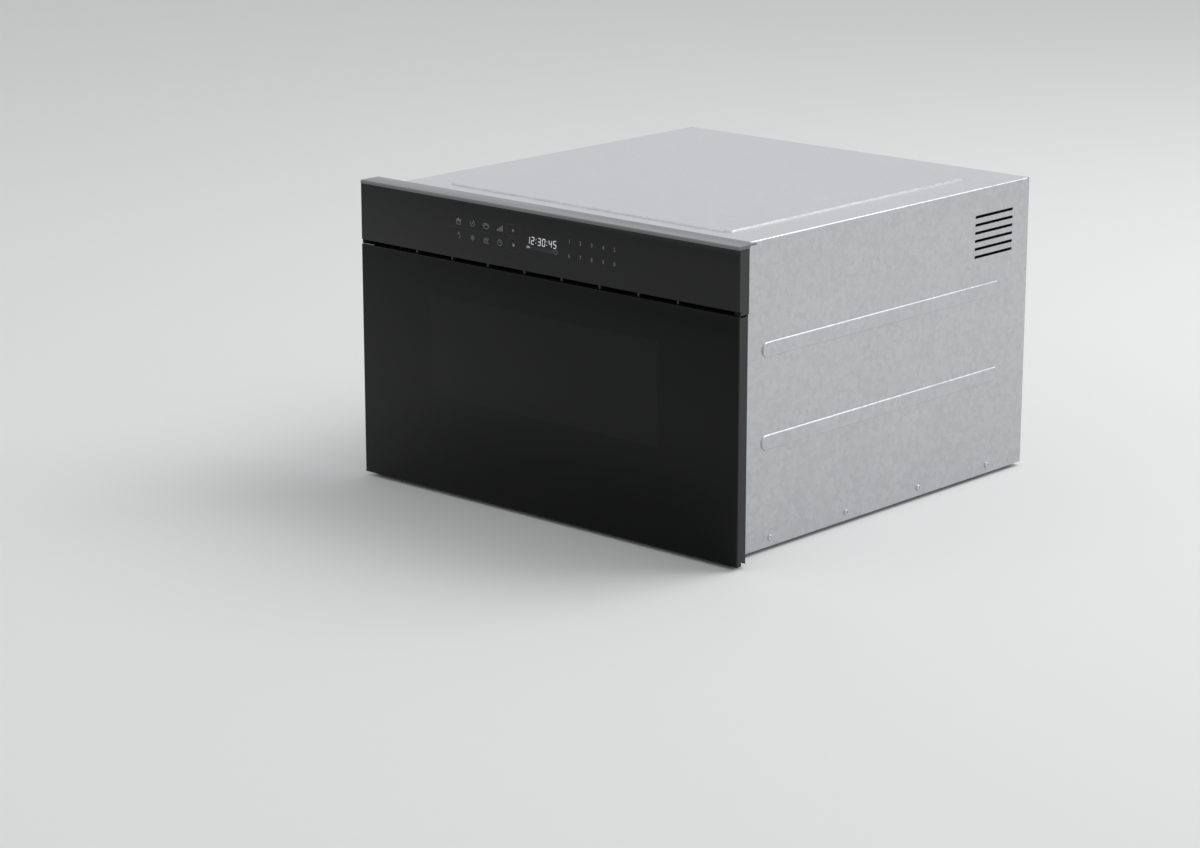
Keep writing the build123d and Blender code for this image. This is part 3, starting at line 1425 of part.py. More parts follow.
# Drawer arms: steel arms on the rails' inner members, with a bent foot screwed to the door
arm_height = 2 * inner_half
arm_length = rail_length + frame_back_y - door_back_y
arm_screw_spacing = 20.0
arm_screw_radius = 2.0
arm_slot_pitch = 80.0
arm_slot_length = 50.0
arm_slot_width = 9.0
arm_screw_spots = [(arm_in_x - rack_width / 2, rail_mid_z + s * arm_screw_spacing / 2) for s in (-1, 1)]
with BuildPart() as drawer_arms:
    with BuildSketch(side(arm_in_x)):
        with Locations((door_back_y, rail_mid_z)):
            Rectangle(arm_length, arm_height, align=(Align.MIN, Align.CENTER))
        with Locations((door_back_y + arm_length / 2, rail_mid_z - arm_height / 4)):
            with GridLocations(arm_slot_pitch, 0, int(arm_length / arm_slot_pitch) - 1, 1):
                SlotOverall(arm_slot_length, arm_slot_width, mode=Mode.SUBTRACT)
    extrude(amount=arm_sheet)
    with BuildSketch(facing(door_back_y)):
        with Locations((arm_in_x, rail_mid_z)):
            Rectangle(rack_width, arm_height, align=(Align.MAX, Align.CENTER))
        with Locations(*arm_screw_spots):
            Circle(arm_screw_radius, mode=Mode.SUBTRACT)
    extrude(amount=arm_sheet, dir=BACK)
    mirror(about=Plane.YZ)
finish(drawer_arms, "drawer_arms")

# Door screws: hold the arms' feet to the door
door_screw_head_radius = 3.6
door_screw_head_height = 2.2
door_screw_head_slope = 15.0
with BuildPart() as door_screws:
    with BuildSketch(facing(door_back_y)):
        with Locations(*arm_screw_spots):
            Circle(arm_screw_radius)
    extrude(amount=arm_sheet, dir=BACK)
    with BuildSketch(facing(door_back_y + arm_sheet)):
        with Locations(*arm_screw_spots):
            Circle(door_screw_head_radius)
    extrude(amount=door_screw_head_height, dir=BACK, taper=door_screw_head_slope)
    mirror(about=Plane.YZ)
finish(door_screws, "door_screws")

# Latch hooks: tongues on the door that enter the latch holders
hook_length = 30.0
hook_root = 6.0
hook_throat = 5.0
hook_barb = 10.0
hook_nose = 2.0
with BuildPart() as latch_hooks:
    with BuildSketch(side(latch_x - latch_width / 2)):
        with BuildLine():
            Polyline(
                (door_back_y, latch_z - latch_height / 2),
                (door_back_y, latch_z + latch_height / 2),
                (door_back_y + hook_root, latch_z + latch_height / 2 - hook_root),
                (door_back_y + hook_length - 2 * hook_nose, latch_z + hook_nose),
                (door_back_y + hook_length, latch_z - hook_nose),
                (door_back_y + hook_length - hook_nose, latch_z - hook_barb),
                (door_back_y + hook_length - hook_barb + hook_nose, latch_z - hook_barb),
                (door_back_y + hook_length - hook_barb, latch_z - hook_throat),
                (door_back_y + hook_root, latch_z - hook_throat),
                close=True,
            )
        make_face()
    extrude(amount=latch_width)
    mirror(about=Plane.YZ)
finish(latch_hooks, "latch_hooks")

# Latch holders: moulded pockets behind the frame that take the hooks and carry the switches
holder_depth = 46.0
holder_height = 70.0
holder_case_gap = 0.4
holder_wall = 5.0
holder_corner = 3.0
hook_gap = 1.5
hook_end_gap = 2.0
holder_out_x = cover_in_x - holder_case_gap
holder_in_x = latch_x - latch_width / 2 - holder_wall
with BuildPart() as latch_holders:
    with BuildSketch(side(holder_in_x)):
        with Locations((frame_back_y + holder_depth / 2, latch_z)):
            RectangleRounded(holder_depth, holder_height, holder_corner)
    extrude(amount=holder_out_x - holder_in_x)
    with BuildSketch(side(latch_x - latch_width / 2 - hook_gap)):
        with Locations((frame_back_y, latch_z)):
            Rectangle(hook_length + hook_end_gap, latch_height + 2 * hook_gap,
                      align=(Align.MIN, Align.CENTER))
    extrude(amount=latch_width + 2 * hook_gap, mode=Mode.SUBTRACT)
    mirror(about=Plane.YZ)
finish(latch_holders, "latch_holders")

# Interlock switches: two behind the right hook and one behind the left, on the holders
switch_spacing = 28.0
switch_width = 10.0
switch_height = 20.0
switch_depth = 16.0
switch_corner = 1.0
switch_tags = 3
switch_tag_pitch = 7.0
switch_tag_height = 4.0
switch_tag_reach = 6.0
switch_tag_sheet = 1.0
with BuildPart() as interlock_switches:
    switch_y = frame_back_y + holder_depth
    for side_sign, rise_sign in ((1, 1), (1, -1), (-1, 1)):
        spot = (side_sign * latch_x, latch_z + rise_sign * switch_spacing / 2)
        with BuildSketch(facing(switch_y)):
            with Locations(spot):
                RectangleRounded(switch_width, switch_height, switch_corner)
        extrude(amount=switch_depth, dir=BACK)
        with BuildSketch(facing(switch_y + switch_depth)):
            with Locations(spot):
                with GridLocations(0, switch_tag_pitch, 1, switch_tags):
                    Rectangle(switch_tag_sheet, switch_tag_height)
        extrude(amount=switch_tag_reach, dir=BACK)
finish(interlock_switches, "interlock_switches")

# Slide brackets: angles on the pan that carry the rails' outer members
bracket_end = 20.0
with BuildPart() as slide_brackets:
    with BuildSketch(facing(frame_back_y)):
        with Locations((rail_out_x, pan_top_z)):
            Rectangle(bracket_sheet, rail_mid_z + rail_height / 2 - pan_top_z,
                      align=(Align.MIN, Align.MIN))
            Rectangle(pan_half - pan_sheet - rail_out_x, bracket_sheet, align=(Align.MIN, Align.MIN))
    extrude(amount=rail_length + bracket_end, dir=BACK)
    mirror(about=Plane.YZ)
finish(slide_brackets, "slide_brackets")

# Outer rails: channels with rolled lips
with BuildPart() as outer_rails:
    with BuildSketch(facing(frame_back_y)):
        with Locations((rail_out_x, rail_mid_z)):
            Rectangle(rail_thickness, rail_height, align=(Align.MAX, Align.CENTER))
        with Locations((rail_out_x - rail_sheet, rail_mid_z)):
            Rectangle(rail_thickness, rail_height - 2 * rail_sheet, align=(Align.MAX, Align.CENTER),
                      mode=Mode.SUBTRACT)
        # Rolled lips that keep the balls in
        for sign in (-1, 1):
            lip_z = rail_mid_z + sign * (outer_inner_half - rail_lip / 2)
            with Locations((rail_in_x + rail_sheet / 2, lip_z)):
                Rectangle(rail_sheet, rail_lip)
    extrude(amount=rail_length, dir=BACK)
    mirror(about=Plane.YZ)
finish(outer_rails, "outer_rails")

# Middle rails: H-section members that run half as far as the drawer
race_width = 2.4
for sign, name in ((-1, "middle_rail_left"), (1, "middle_rail_right")):
    with BuildPart() as middle_rail:
        with BuildSketch(facing(frame_back_y)):
            for end in (-1, 1):
                with Locations((sign * (middle_out_x + middle_in_x) / 2,
                                rail_mid_z + end * (middle_half - rail_sheet / 2))):
                    Rectangle(middle_out_x - middle_in_x, rail_sheet)
                # Ball race beyond the flange
                with Locations((sign * (middle_out_x + middle_in_x) / 2,
                                rail_mid_z + end * (middle_half + rail_lip / 2))):
                    Rectangle(race_width, rail_lip)
            with Locations((sign * (middle_out_x - rail_sheet / 2), rail_mid_z)):
                Rectangle(rail_sheet, 2 * middle_half)
        extrude(amount=rail_length, dir=BACK)
    finish(middle_rail, name)

# Inner rails: the members that carry the arms
with BuildPart() as inner_rails:
    with BuildSketch(facing(frame_back_y)):
        with Locations((rail_in_x, rail_mid_z)):
            Rectangle(middle_out_x - rail_sheet - rail_clearance - rail_in_x, 2 * inner_half,
                      align=(Align.MIN, Align.CENTER))
        with Locations((rail_in_x + rail_sheet, rail_mid_z)):
            Rectangle(rail_thickness, 2 * (inner_half - rail_sheet), align=(Align.MIN, Align.CENTER),
                      mode=Mode.SUBTRACT)
    extrude(amount=rail_length, dir=BACK)
    mirror(about=Plane.YZ)
finish(inner_rails, "inner_rails")

# Drive racks: toothed bars on the arms, teeth down
rack_pitch = pi * rack_module
rack_end_gap = 10.0
rack_front_y = door_back_y + arm_sheet + rack_end_gap
rack_teeth_ahead = floor((shaft_y - rack_front_y) / rack_pitch)
rack_gaps = ceil((travel + 2 * rack_pitch) / rack_pitch) + rack_teeth_ahead
tooth_root = rack_pitch_z + dedendum * rack_module
tooth_tip = rack_pitch_z - rack_module
with BuildPart() as drive_racks:
    half_pitch_width = (rack_pitch / 2 - backlash / 2) / 2
    half_tip = half_pitch_width - rack_module * tan(pressure_angle)
    half_root = half_pitch_width + dedendum * rack_module * tan(pressure_angle)
    first_y = shaft_y - (rack_teeth_ahead + 0.5) * rack_pitch
    end_y = first_y + rack_gaps * rack_pitch
    with BuildSketch(side(rack_in_x)):
        with BuildLine():
            corners = [(first_y - half_root, rack_top_z), (end_y + half_root, rack_top_z)]
            for i in range(rack_gaps, -1, -1):
                y = first_y + i * rack_pitch
                corners += [(y + half_root, tooth_root), (y + half_tip, tooth_tip),
                            (y - half_tip, tooth_tip), (y - half_root, tooth_root)]
            Polyline(*corners, close=True)
        make_face()
    extrude(amount=rack_width)
    mirror(about=Plane.YZ)
finish(drive_racks, "drive_racks")

# Drive shaft: cross shaft that keeps both sides of the drawer level
pinion_x = rack_in_x + (rack_width - pinion_width) / 2
with BuildPart() as drive_shaft:
    with BuildSketch(side(-pinion_x - pinion_width)):
        with Locations((shaft_y, shaft_z)):
            Circle(shaft_radius)
    extrude(amount=2 * (pinion_x + pinion_width))
finish(drive_shaft, "drive_shaft")

# Shaft gears: a rack pinion at each end and the driven gear beside the motor
pinion_outline = gear_outline(pinion_teeth, rack_module)
driven_outline = gear_outline(driven_teeth, drive_module)
with BuildPart() as shaft_gears:
    for x in (pinion_x, -pinion_x - pinion_width):
        with BuildSketch(side(x)):
            with Locations((shaft_y, shaft_z)):
                add(pinion_outline)
                Circle(shaft_radius, mode=Mode.SUBTRACT)
        extrude(amount=pinion_width)
    with BuildSketch(side(drive_x)):
        with Locations((shaft_y, shaft_z)):
            add(driven_outline, rotation=-90)
            Circle(shaft_radius, mode=Mode.SUBTRACT)
    extrude(amount=drive_face)
finish(shaft_gears, "shaft_gears")

# Shaft bearings: pillow blocks on the pan, just inside each pinion
block_width = 8.0
block_half = 12.0
block_foot = 10.0
block_foot_height = 4.0
block_gap = 2.0
with BuildPart() as shaft_bearings:
    block_x = pinion_x - block_gap - block_width
    with BuildSketch(side(block_x)):
        with Locations((shaft_y, pan_top_z)):
            Rectangle(2 * block_half, shaft_z - pan_top_z, align=(Align.CENTER, Align.MIN))
            Rectangle(2 * (block_half + block_foot), block_foot_height, align=(Align.CENTER, Align.MIN))
        with Locations((shaft_y, shaft_z)):
            Circle(block_half)
            Circle(shaft_radius + running_gap, mode=Mode.SUBTRACT)
    extrude(amount=block_width)
    mirror(about=Plane.YZ)
finish(shaft_bearings, "shaft_bearings")

# Drive motor: gearbox with the motor can on its side and feet on the pan
gearbox_gap = 2.0
gearbox_width = 34.0
gearbox_length = 60.0
gearbox_height = 44.0
gearbox_edge = 5.0
gearbox_foot_length = 92.0
gearbox_foot_height = 2.5
gearbox_x = drive_x + drive_face + gearbox_gap
gearbox_y = motor_y + 10.0
motor_can_y = motor_y + 14.0
motor_can_z = pan_top_z + gearbox_height / 2
motor_can_radius = 17.0
motor_can_length = 48.0
motor_boss_radius = 7.0
motor_boss_length = 5.0
gear_shaft_radius = 4.0
gear_shaft_length = 20.0
gear_end_gap = 2.0
with BuildPart() as drive_motor:
    with BuildSketch(side(gearbox_x)):
        with Locations((gearbox_y, pan_top_z)):
            Rectangle(gearbox_length, gearbox_height, align=(Align.CENTER, Align.MIN))
    extrude(amount=gearbox_width)
    fillet(drive_motor.edges().filter_by(Axis.X).group_by(Axis.Z)[-1], gearbox_edge)
    with BuildSketch(side(gearbox_x)):
        with Locations((gearbox_y, pan_top_z)):
            Rectangle(gearbox_foot_length, gearbox_foot_height, align=(Align.CENTER, Align.MIN))
    extrude(amount=gearbox_width)
    with BuildSketch(side(gearbox_x + gearbox_width)):
        with Locations((motor_can_y, motor_can_z)):
            Circle(motor_can_radius)
    extrude(amount=motor_can_length)
    with BuildSketch(side(gearbox_x + gearbox_width + motor_can_length)):
        with Locations((motor_can_y, motor_can_z)):
            Circle(motor_boss_radius)
    extrude(amount=motor_boss_length)
    with BuildSketch(side(gearbox_x)):
        with Locations((motor_y, shaft_z)):
            Circle(gear_shaft_radius + running_gap)
    extrude(amount=gear_shaft_length, mode=Mode.SUBTRACT)
finish(drive_motor, "drive_motor")

# Motor gear: a gap of it faces the driven gear's tooth; its stub turns in the gearbox
motor_outline = gear_outline(motor_teeth, drive_module)
with BuildPart() as motor_gear:
    with BuildSketch(side(drive_x)):
        with Locations((motor_y, shaft_z)):
            add(motor_outline, rotation=90 + 180 / motor_teeth)
    extrude(amount=drive_face)
    with BuildSketch(side(drive_x + drive_face)):
        with Locations((motor_y, shaft_z)):
            Circle(gear_shaft_radius)
    extrude(amount=gearbox_gap + gear_shaft_length - gear_end_gap)
finish(motor_gear, "motor_gear")
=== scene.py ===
import json
import math
import bpy
from mathutils import Matrix, Vector


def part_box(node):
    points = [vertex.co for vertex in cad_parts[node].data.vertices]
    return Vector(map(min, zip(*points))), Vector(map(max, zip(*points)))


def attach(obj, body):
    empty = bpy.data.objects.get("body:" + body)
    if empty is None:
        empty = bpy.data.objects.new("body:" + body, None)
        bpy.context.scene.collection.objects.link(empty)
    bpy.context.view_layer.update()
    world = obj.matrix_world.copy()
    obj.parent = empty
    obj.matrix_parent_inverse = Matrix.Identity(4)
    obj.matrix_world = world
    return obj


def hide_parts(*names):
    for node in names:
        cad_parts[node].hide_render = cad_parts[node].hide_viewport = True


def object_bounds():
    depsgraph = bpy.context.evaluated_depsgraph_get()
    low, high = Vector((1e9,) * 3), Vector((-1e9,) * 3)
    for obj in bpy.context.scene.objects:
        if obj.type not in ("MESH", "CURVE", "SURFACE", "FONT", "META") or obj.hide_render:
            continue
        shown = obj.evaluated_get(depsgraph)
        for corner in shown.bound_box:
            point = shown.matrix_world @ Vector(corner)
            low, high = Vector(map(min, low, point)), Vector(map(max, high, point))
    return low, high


# Looks of the microwave drawer. Metres, front towards -Y, up +Z, the same frame as the CAD model.
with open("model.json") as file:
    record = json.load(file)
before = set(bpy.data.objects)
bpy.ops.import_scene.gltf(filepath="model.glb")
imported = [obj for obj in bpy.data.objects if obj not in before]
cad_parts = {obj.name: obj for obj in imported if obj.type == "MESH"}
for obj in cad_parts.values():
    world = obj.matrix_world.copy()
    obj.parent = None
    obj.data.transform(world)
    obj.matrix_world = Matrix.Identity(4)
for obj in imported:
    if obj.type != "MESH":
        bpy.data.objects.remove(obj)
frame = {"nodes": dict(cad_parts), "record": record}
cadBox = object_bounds()
cad = frame["nodes"]
mm = 0.001


def stage(text):
    print("stage:", text)


stage("frame loaded, %d CAD nodes" % len(cad))


class Wire:
    # a socket that can be added, multiplied and so on; each sum adds its Math node
    def __init__(self, tree, socket):
        self.tree = tree
        self.socket = socket

    def __add__(self, other):
        return self.tree.sum("ADD", self, other)

    def __sub__(self, other):
        return self.tree.sum("SUBTRACT", self, other)

    def __rsub__(self, other):
        return self.tree.sum("SUBTRACT", other, self)

    def __mul__(self, other):
        return self.tree.sum("MULTIPLY", self, other)

    def __truediv__(self, other):
        return self.tree.sum("DIVIDE", self, other)

    def __gt__(self, other):
        return self.tree.sum("GREATER_THAN", self, other)

    def __lt__(self, other):
        return self.tree.sum("LESS_THAN", self, other)

    def __mod__(self, other):
        return self.tree.sum("FLOORED_MODULO", self, other)

    def __abs__(self):
        return self.tree.sum("ABSOLUTE", self)

    __radd__ = __add__
    __rmul__ = __mul__

    def clamped(self):
        return self.tree.sum("ADD", self, 0, clamp=True)

    def sine(self):
        return self.tree.sum("SINE", self)

    def between(self, low, high, soft=0.1):
        # 1 from low to high and 0 outside, over a soft edge
        return ((self - low) / soft).clamped() * ((high - self) / soft).clamped()


class NodeTree:
    # the nodes of one material or of the room, and one way to add any of them
    def __init__(self, owner):
        owner.use_nodes = True
        self.tree = owner.node_tree
        self.tree.nodes.clear()

    def node(self, kind, settings=None, values=None):
        made = self.tree.nodes.new(kind)
        for key, value in (settings or {}).items():
            if key == "stops":
                for spare in list(made.color_ramp.elements)[1:]:
                    made.color_ramp.elements.remove(spare)
                made.color_ramp.elements[0].position = value[0][0]
                made.color_ramp.elements[0].color = (*value[0][1], 1)
                for at, color in value[1:]:
                    made.color_ramp.elements.new(at).color = (*color, 1)
            else:
                setattr(made, key, value)
        for key, value in (values or {}).items():
            self.feed(made.inputs[key], value)
        return made

    def feed(self, socket, value):
        if isinstance(value, Wire):
            value = value.socket
        if isinstance(value, bpy.types.NodeSocket):
            self.tree.links.new(value, socket)
        elif hasattr(value, "__len__") and len(value) == 3 and socket.type == "RGBA":
            socket.default_value = (*value, 1)
        else:
            socket.default_value = value

    def sum(self, operation, *values, clamp=False):
        made = self.node("ShaderNodeMath", {"operation": operation, "use_clamp": clamp},
                         dict(enumerate(values)))
        return Wire(self, made.outputs[0])


class Finish(NodeTree):
    # one material: its shader, and patterns that lie by their place on the piece
    def __init__(self, name, **constants):
        self.material = bpy.data.materials.new(name)
        super().__init__(self.material)
        self.shader = self.node("ShaderNodeBsdfPrincipled", {}, constants)
        self.node("ShaderNodeOutputMaterial", {}, {"Surface": self.shader.outputs[0]})
        self.place = self.node("ShaderNodeTexCoord").outputs["Object"]

    def axes(self):
        # x, y and z of the surface in millimetres
        parts = self.node("ShaderNodeSeparateXYZ", {}, {0: self.place})
        return [Wire(self, parts.outputs[k]) * 1000 for k in range(3)]

    def stretched(self, stretch):
        return self.node("ShaderNodeMapping", {}, {"Vector": self.place, "Scale": stretch}).outputs[0]

    def cloud(self, size, detail=2.0, stretch=(1, 1, 1)):
        # cloudy variation round 0.5, its lumps about size millimetres across
        made = self.node("ShaderNodeTexNoise", {},
                         {"Vector": self.stretched(stretch), "Scale": 1000 / size, "Detail": detail})
        return Wire(self, made.outputs[0])

    def cells(self, size, stretch=(1, 1, 1), feature="F1"):
        # cells of about size millimetres: (distance, a random number for each)
        made = self.node("ShaderNodeTexVoronoi", {"feature": feature},
                         {"Vector": self.stretched(stretch), "Scale": 1000 / size})
        if feature == "DISTANCE_TO_EDGE":
            return Wire(self, made.outputs["Distance"]), None
        parts = self.node("ShaderNodeSeparateColor", {}, {0: made.outputs["Color"]})
        return Wire(self, made.outputs["Distance"]), Wire(self, parts.outputs[0])

    def inside(self, low, high):
        # 1 in the box between two corners in millimetres, 0 outside
        middle, half = (Vector(low) + Vector(high)) / 2 * mm, (Vector(high) - Vector(low)) / 2 * mm
        moved = self.node("ShaderNodeVectorMath", {"operation": "SUBTRACT"}, {0: self.place, 1: middle})
        scaled = self.node("ShaderNodeVectorMath", {"operation": "DIVIDE"}, {0: moved.outputs[0], 1: half})
        parts = self.node("ShaderNodeSeparateXYZ", {}, {0: scaled.outputs[0]})
        x, y, z = [abs(Wire(self, parts.outputs[k])) for k in range(3)]
        return self.sum("MAXIMUM", self.sum("MAXIMUM", x, y), z) < 1

    def blend(self, share, first, second):
        # first where share is 0, second where it is 1
        made = self.node("ShaderNodeMix", {"data_type": "RGBA"}, {0: share, 6: first, 7: second})
        return Wire(self, made.outputs[2])

    def ramp(self, value, *stops):
        made = self.node("ShaderNodeValToRGB", {"stops": stops}, {0: value})
        return Wire(self, made.outputs[0])

    def paint(self, **values):
        names = {"color": "Base Color", "roughness": "Roughness", "metallic": "Metallic",
                 "coat": "Coat Weight", "alpha": "Alpha", "light": "Emission Color"}
        for key, value in values.items():
            self.feed(self.shader.inputs[names[key]], value)
        return self

    def relief(self, height, depth):
        # depth is in millimetres
        made = self.node("ShaderNodeBump", {}, {"Height": height, "Distance": depth * mm, "Strength": 1.0})
        self.feed(self.shader.inputs["Normal"], made.outputs[0])
        return self.material


def shade(color, factor):
    return tuple(min(1.0, part * factor) for part in color)


# Black glass with its print behind: a softer black on the panel, a deep one on the drawer round a faint
# window. Besides the print, the panel's softer black is painted reflection and the drawer's deeper black is
# painted shade, standing for lit and dark surroundings mirrored in the glass.
blackGlass = {"panel": (0.0155, 0.0157, 0.0155), "door": (0.0023, 0.0026, 0.0031), "doorTop": 297.0,
              "window": (0.0068, 0.0071, 0.0072), "windowHalf": 184.0, "windowZ": (124.7, 250.7),
              "windowEdge": 0.8, "dotPitch": 1.6, "betweenDots": 0.55,
              "mirror": 0.18, "roughness": 0.06, "smear": 0.07, "smearSize": 120}


def blackGlassFinish():
    made = Finish("blackGlass", **{"Specular IOR Level": blackGlass["mirror"]})
    x, y, z = made.axes()
    window = x.between(-blackGlass["windowHalf"], blackGlass["windowHalf"], blackGlass["windowEdge"])
    window = window * z.between(*blackGlass["windowZ"], blackGlass["windowEdge"])
    wave = 2 * math.pi / blackGlass["dotPitch"]
    dots = ((x * wave).sine() * (z * wave).sine() + 0.1).clamped()
    tinted = blackGlass["betweenDots"] + (1 - blackGlass["betweenDots"]) * dots
    # painted light: the lighter panel black stands for reflection, the darker drawer black for shade
    printAndPaintedLight = made.blend(z > blackGlass["doorTop"], blackGlass["door"], blackGlass["panel"])
    color = made.blend(window * tinted, printAndPaintedLight, blackGlass["window"])
    wipes = made.cloud(blackGlass["smearSize"], 4, (1, 1, 2.6))
    made.paint(color=color,
               roughness=blackGlass["roughness"] + blackGlass["smear"] * (wipes - 0.42).clamped())
    return made.relief(made.cloud(260, 1), 0.02)


# Clear inner pane of the door
clearPane = {"tint": (0.78, 0.84, 0.82), "haze": (0.7, 0.78, 0.76), "hazeShare": 0.2, "roughness": 0.03}


def clearPaneFinish():
    made = Finish("clearPane", **{"Transmission Weight": 0.9, "IOR": 1.5})
    haze = made.cloud(70, 3)
    made.paint(color=made.blend(haze * clearPane["hazeShare"], clearPane["tint"], clearPane["haze"]),
               roughness=clearPane["roughness"] + 0.05 * haze)
    return made.relief(made.cloud(9, 2), 0.002)


# Bright strips: aluminium brushed along the width
trimMetal = {"color": (0.24, 0.24, 0.243), "dark": (0.155, 0.155, 0.158), "roughness": 0.32,
             "lineSize": 0.5, "lineStretch": (0.012, 1, 1)}


def trimMetalFinish():
    made = Finish("brushedTrim", **{"Anisotropic": 0.4})
    lines = made.cloud(trimMetal["lineSize"], 3, trimMetal["lineStretch"])
    share = (lines * 0.7 + made.cloud(90, 2) * 0.5 - 0.25).clamped()
    made.paint(color=made.blend(share, trimMetal["dark"], trimMetal["color"]),
               roughness=trimMetal["roughness"] + 0.16 * (lines - 0.5), metallic=1.0)
    return made.relief(lines, 0.006)


# Painted steel: powder coat with its fine orange peel and a few rubbed spots
powderCoats = {
    "black_steel": {"name": "blackPowderCoat", "roughness": 0.46,
                    "color": (0.017, 0.017, 0.018), "rubbed": (0.035, 0.035, 0.036)},
    "screen_steel": {"name": "screenEnamel", "roughness": 0.35,
                     "color": (0.025, 0.025, 0.027), "rubbed": (0.05, 0.05, 0.05)},
}
powderSkin = {"peel": 0.9, "peelDepth": 0.03, "spot": 3.2, "spotRarity": 0.74}


def paintedFinish(name, color, rubbed, roughness):
    made = Finish(name, **{"Specular IOR Level": 0.4})
    skin = made.cloud(powderSkin["peel"], 2)
    tone = made.cloud(60, 3)
    spots = (made.cloud(powderSkin["spot"], 1) > powderSkin["spotRarity"]) * 0.5
    made.paint(color=made.blend((tone * 0.5 + spots - 0.1).clamped(), color, rubbed),
               roughness=roughness + 0.14 * (skin - 0.5) + 0.1 * (tone - 0.5))
    return made.relief(skin, powderSkin["peelDepth"])


# Galvanised sheet: zinc crystals of uneven brightness under a dull skin
zincSheet = {"light": (0.6, 0.61, 0.62), "dark": (0.46, 0.47, 0.485), "spangle": 7.0, "roughness": 0.35,
             "metallic": 0.92}


def zincSheetFinish():
    made = Finish("galvanisedSheet")
    distance, chance = made.cells(zincSheet["spangle"])
    _, fineChance = made.cells(zincSheet["spangle"] / 3)
    skin = made.cloud(150, 4)
    scratch = made.cloud(0.7, 2, (1, 1, 0.05))
    tone = (chance * 0.47 + fineChance * 0.2 + skin * 0.38 - 0.02).clamped()
    made.paint(color=made.blend(tone, zincSheet["dark"], zincSheet["light"]),
               roughness=zincSheet["roughness"] + 0.12 * (chance - 0.5) + 0.08 * (skin - 0.5),
               metallic=zincSheet["metallic"])
    return made.relief(distance * 0.5 + scratch * 0.3, 0.008)


# Oven lining: pale grey baked enamel with a fine fleck
ovenEnamel = {"color": (0.5, 0.515, 0.52), "fleck": (0.3, 0.31, 0.32), "fleckSize": 0.9, "roughness": 0.24,
              "gloss": 0.35}


def ovenEnamelFinish():
    made = Finish("ovenEnamel", **{"Coat Roughness": 0.12})
    fleck = (made.cloud(ovenEnamel["fleckSize"], 1) > 0.66) * 0.45
    tone = made.cloud(120, 3)
    share = (fleck + 0.25 * (tone - 0.35)).clamped()
    made.paint(color=made.blend(share, ovenEnamel["color"], ovenEnamel["fleck"]),
               roughness=ovenEnamel["roughness"] + 0.12 * (tone - 0.5), coat=ovenEnamel["gloss"])
    return made.relief(made.cloud(2.2, 2), 0.02)


# Moulded plastics: flow marks, a fine grain of some size and depth, and a gloss that wanders a little
plastics = {
    "black_plastic": {"name": "blackPlastic", "color": (0.02, 0.02, 0.021), "roughness": 0.5,
                      "grain": 0.5, "depth": 0.03},
    "tub_plastic": {"name": "tubPlastic", "color": (0.33, 0.34, 0.35), "roughness": 0.3,
                    "grain": 0.7, "depth": 0.012, "coat": 0.25},
    "white_nylon": {"name": "whiteNylon", "color": (0.72, 0.72, 0.69), "roughness": 0.4,
                    "grain": 0.6, "depth": 0.012, "soft": 0.12},
    "duct_plastic": {"name": "ductPlastic", "color": (0.3, 0.31, 0.32), "roughness": 0.52,
                     "grain": 0.6, "depth": 0.03},
    "gear_nylon": {"name": "gearNylon", "color": (0.76, 0.74, 0.66), "roughness": 0.42,
                   "grain": 0.8, "depth": 0.012, "soft": 0.1},
}


def mouldedFinish(name, color, roughness, grain, depth, soft=0.0, coat=0.0):
    made = Finish(name, **{"Subsurface Weight": soft, "Subsurface Scale": 0.004})
    pits = made.cloud(grain, 2)
    flow = made.cloud(85, 3, (1, 1, 0.5))
    made.paint(color=made.blend(flow, shade(color, 0.86), shade(color, 1.12)),
               roughness=roughness + 0.12 * (pits - 0.5) + 0.12 * (flow - 0.5), coat=coat)
    return made.relief(pits, depth)


# Glazed tray in the drawer's base
ceramicTray = {"color": (0.78, 0.785, 0.76), "speck": (0.6, 0.58, 0.52), "roughness": 0.13, "glaze": 0.5}


def ceramicFinish():
    made = Finish("glazedTray", **{"Coat Roughness": 0.06})
    speck = (made.cloud(0.8, 1) > 0.7) * 0.5
    made.paint(color=made.blend(speck, ceramicTray["color"], ceramicTray["speck"]),
               roughness=ceramicTray["roughness"] + 0.08 * made.cloud(60, 2), coat=ceramicTray["glaze"])
    return made.relief(made.cloud(22, 2), 0.05)


# Mica sheet: overlapping flakes of warm silver, from dark to light
micaSheet = {"flake": 7, "roughness": 0.3,
             "tones": ((0.0, (0.42, 0.36, 0.24)), (0.5, (0.6, 0.54, 0.4)), (1.0, (0.74, 0.7, 0.58)))}


def micaFinish():
    made = Finish("micaSheet")
    distance, chance = made.cells(micaSheet["flake"], (1, 0.6, 1))
    streak = made.cloud(2.5, 3, (1, 0.2, 1))
    made.paint(color=made.ramp((chance * 0.6 + streak * 0.5).clamped(), *micaSheet["tones"]),
               roughness=micaSheet["roughness"] + 0.25 * streak)
    return made.relief(distance, 0.04)


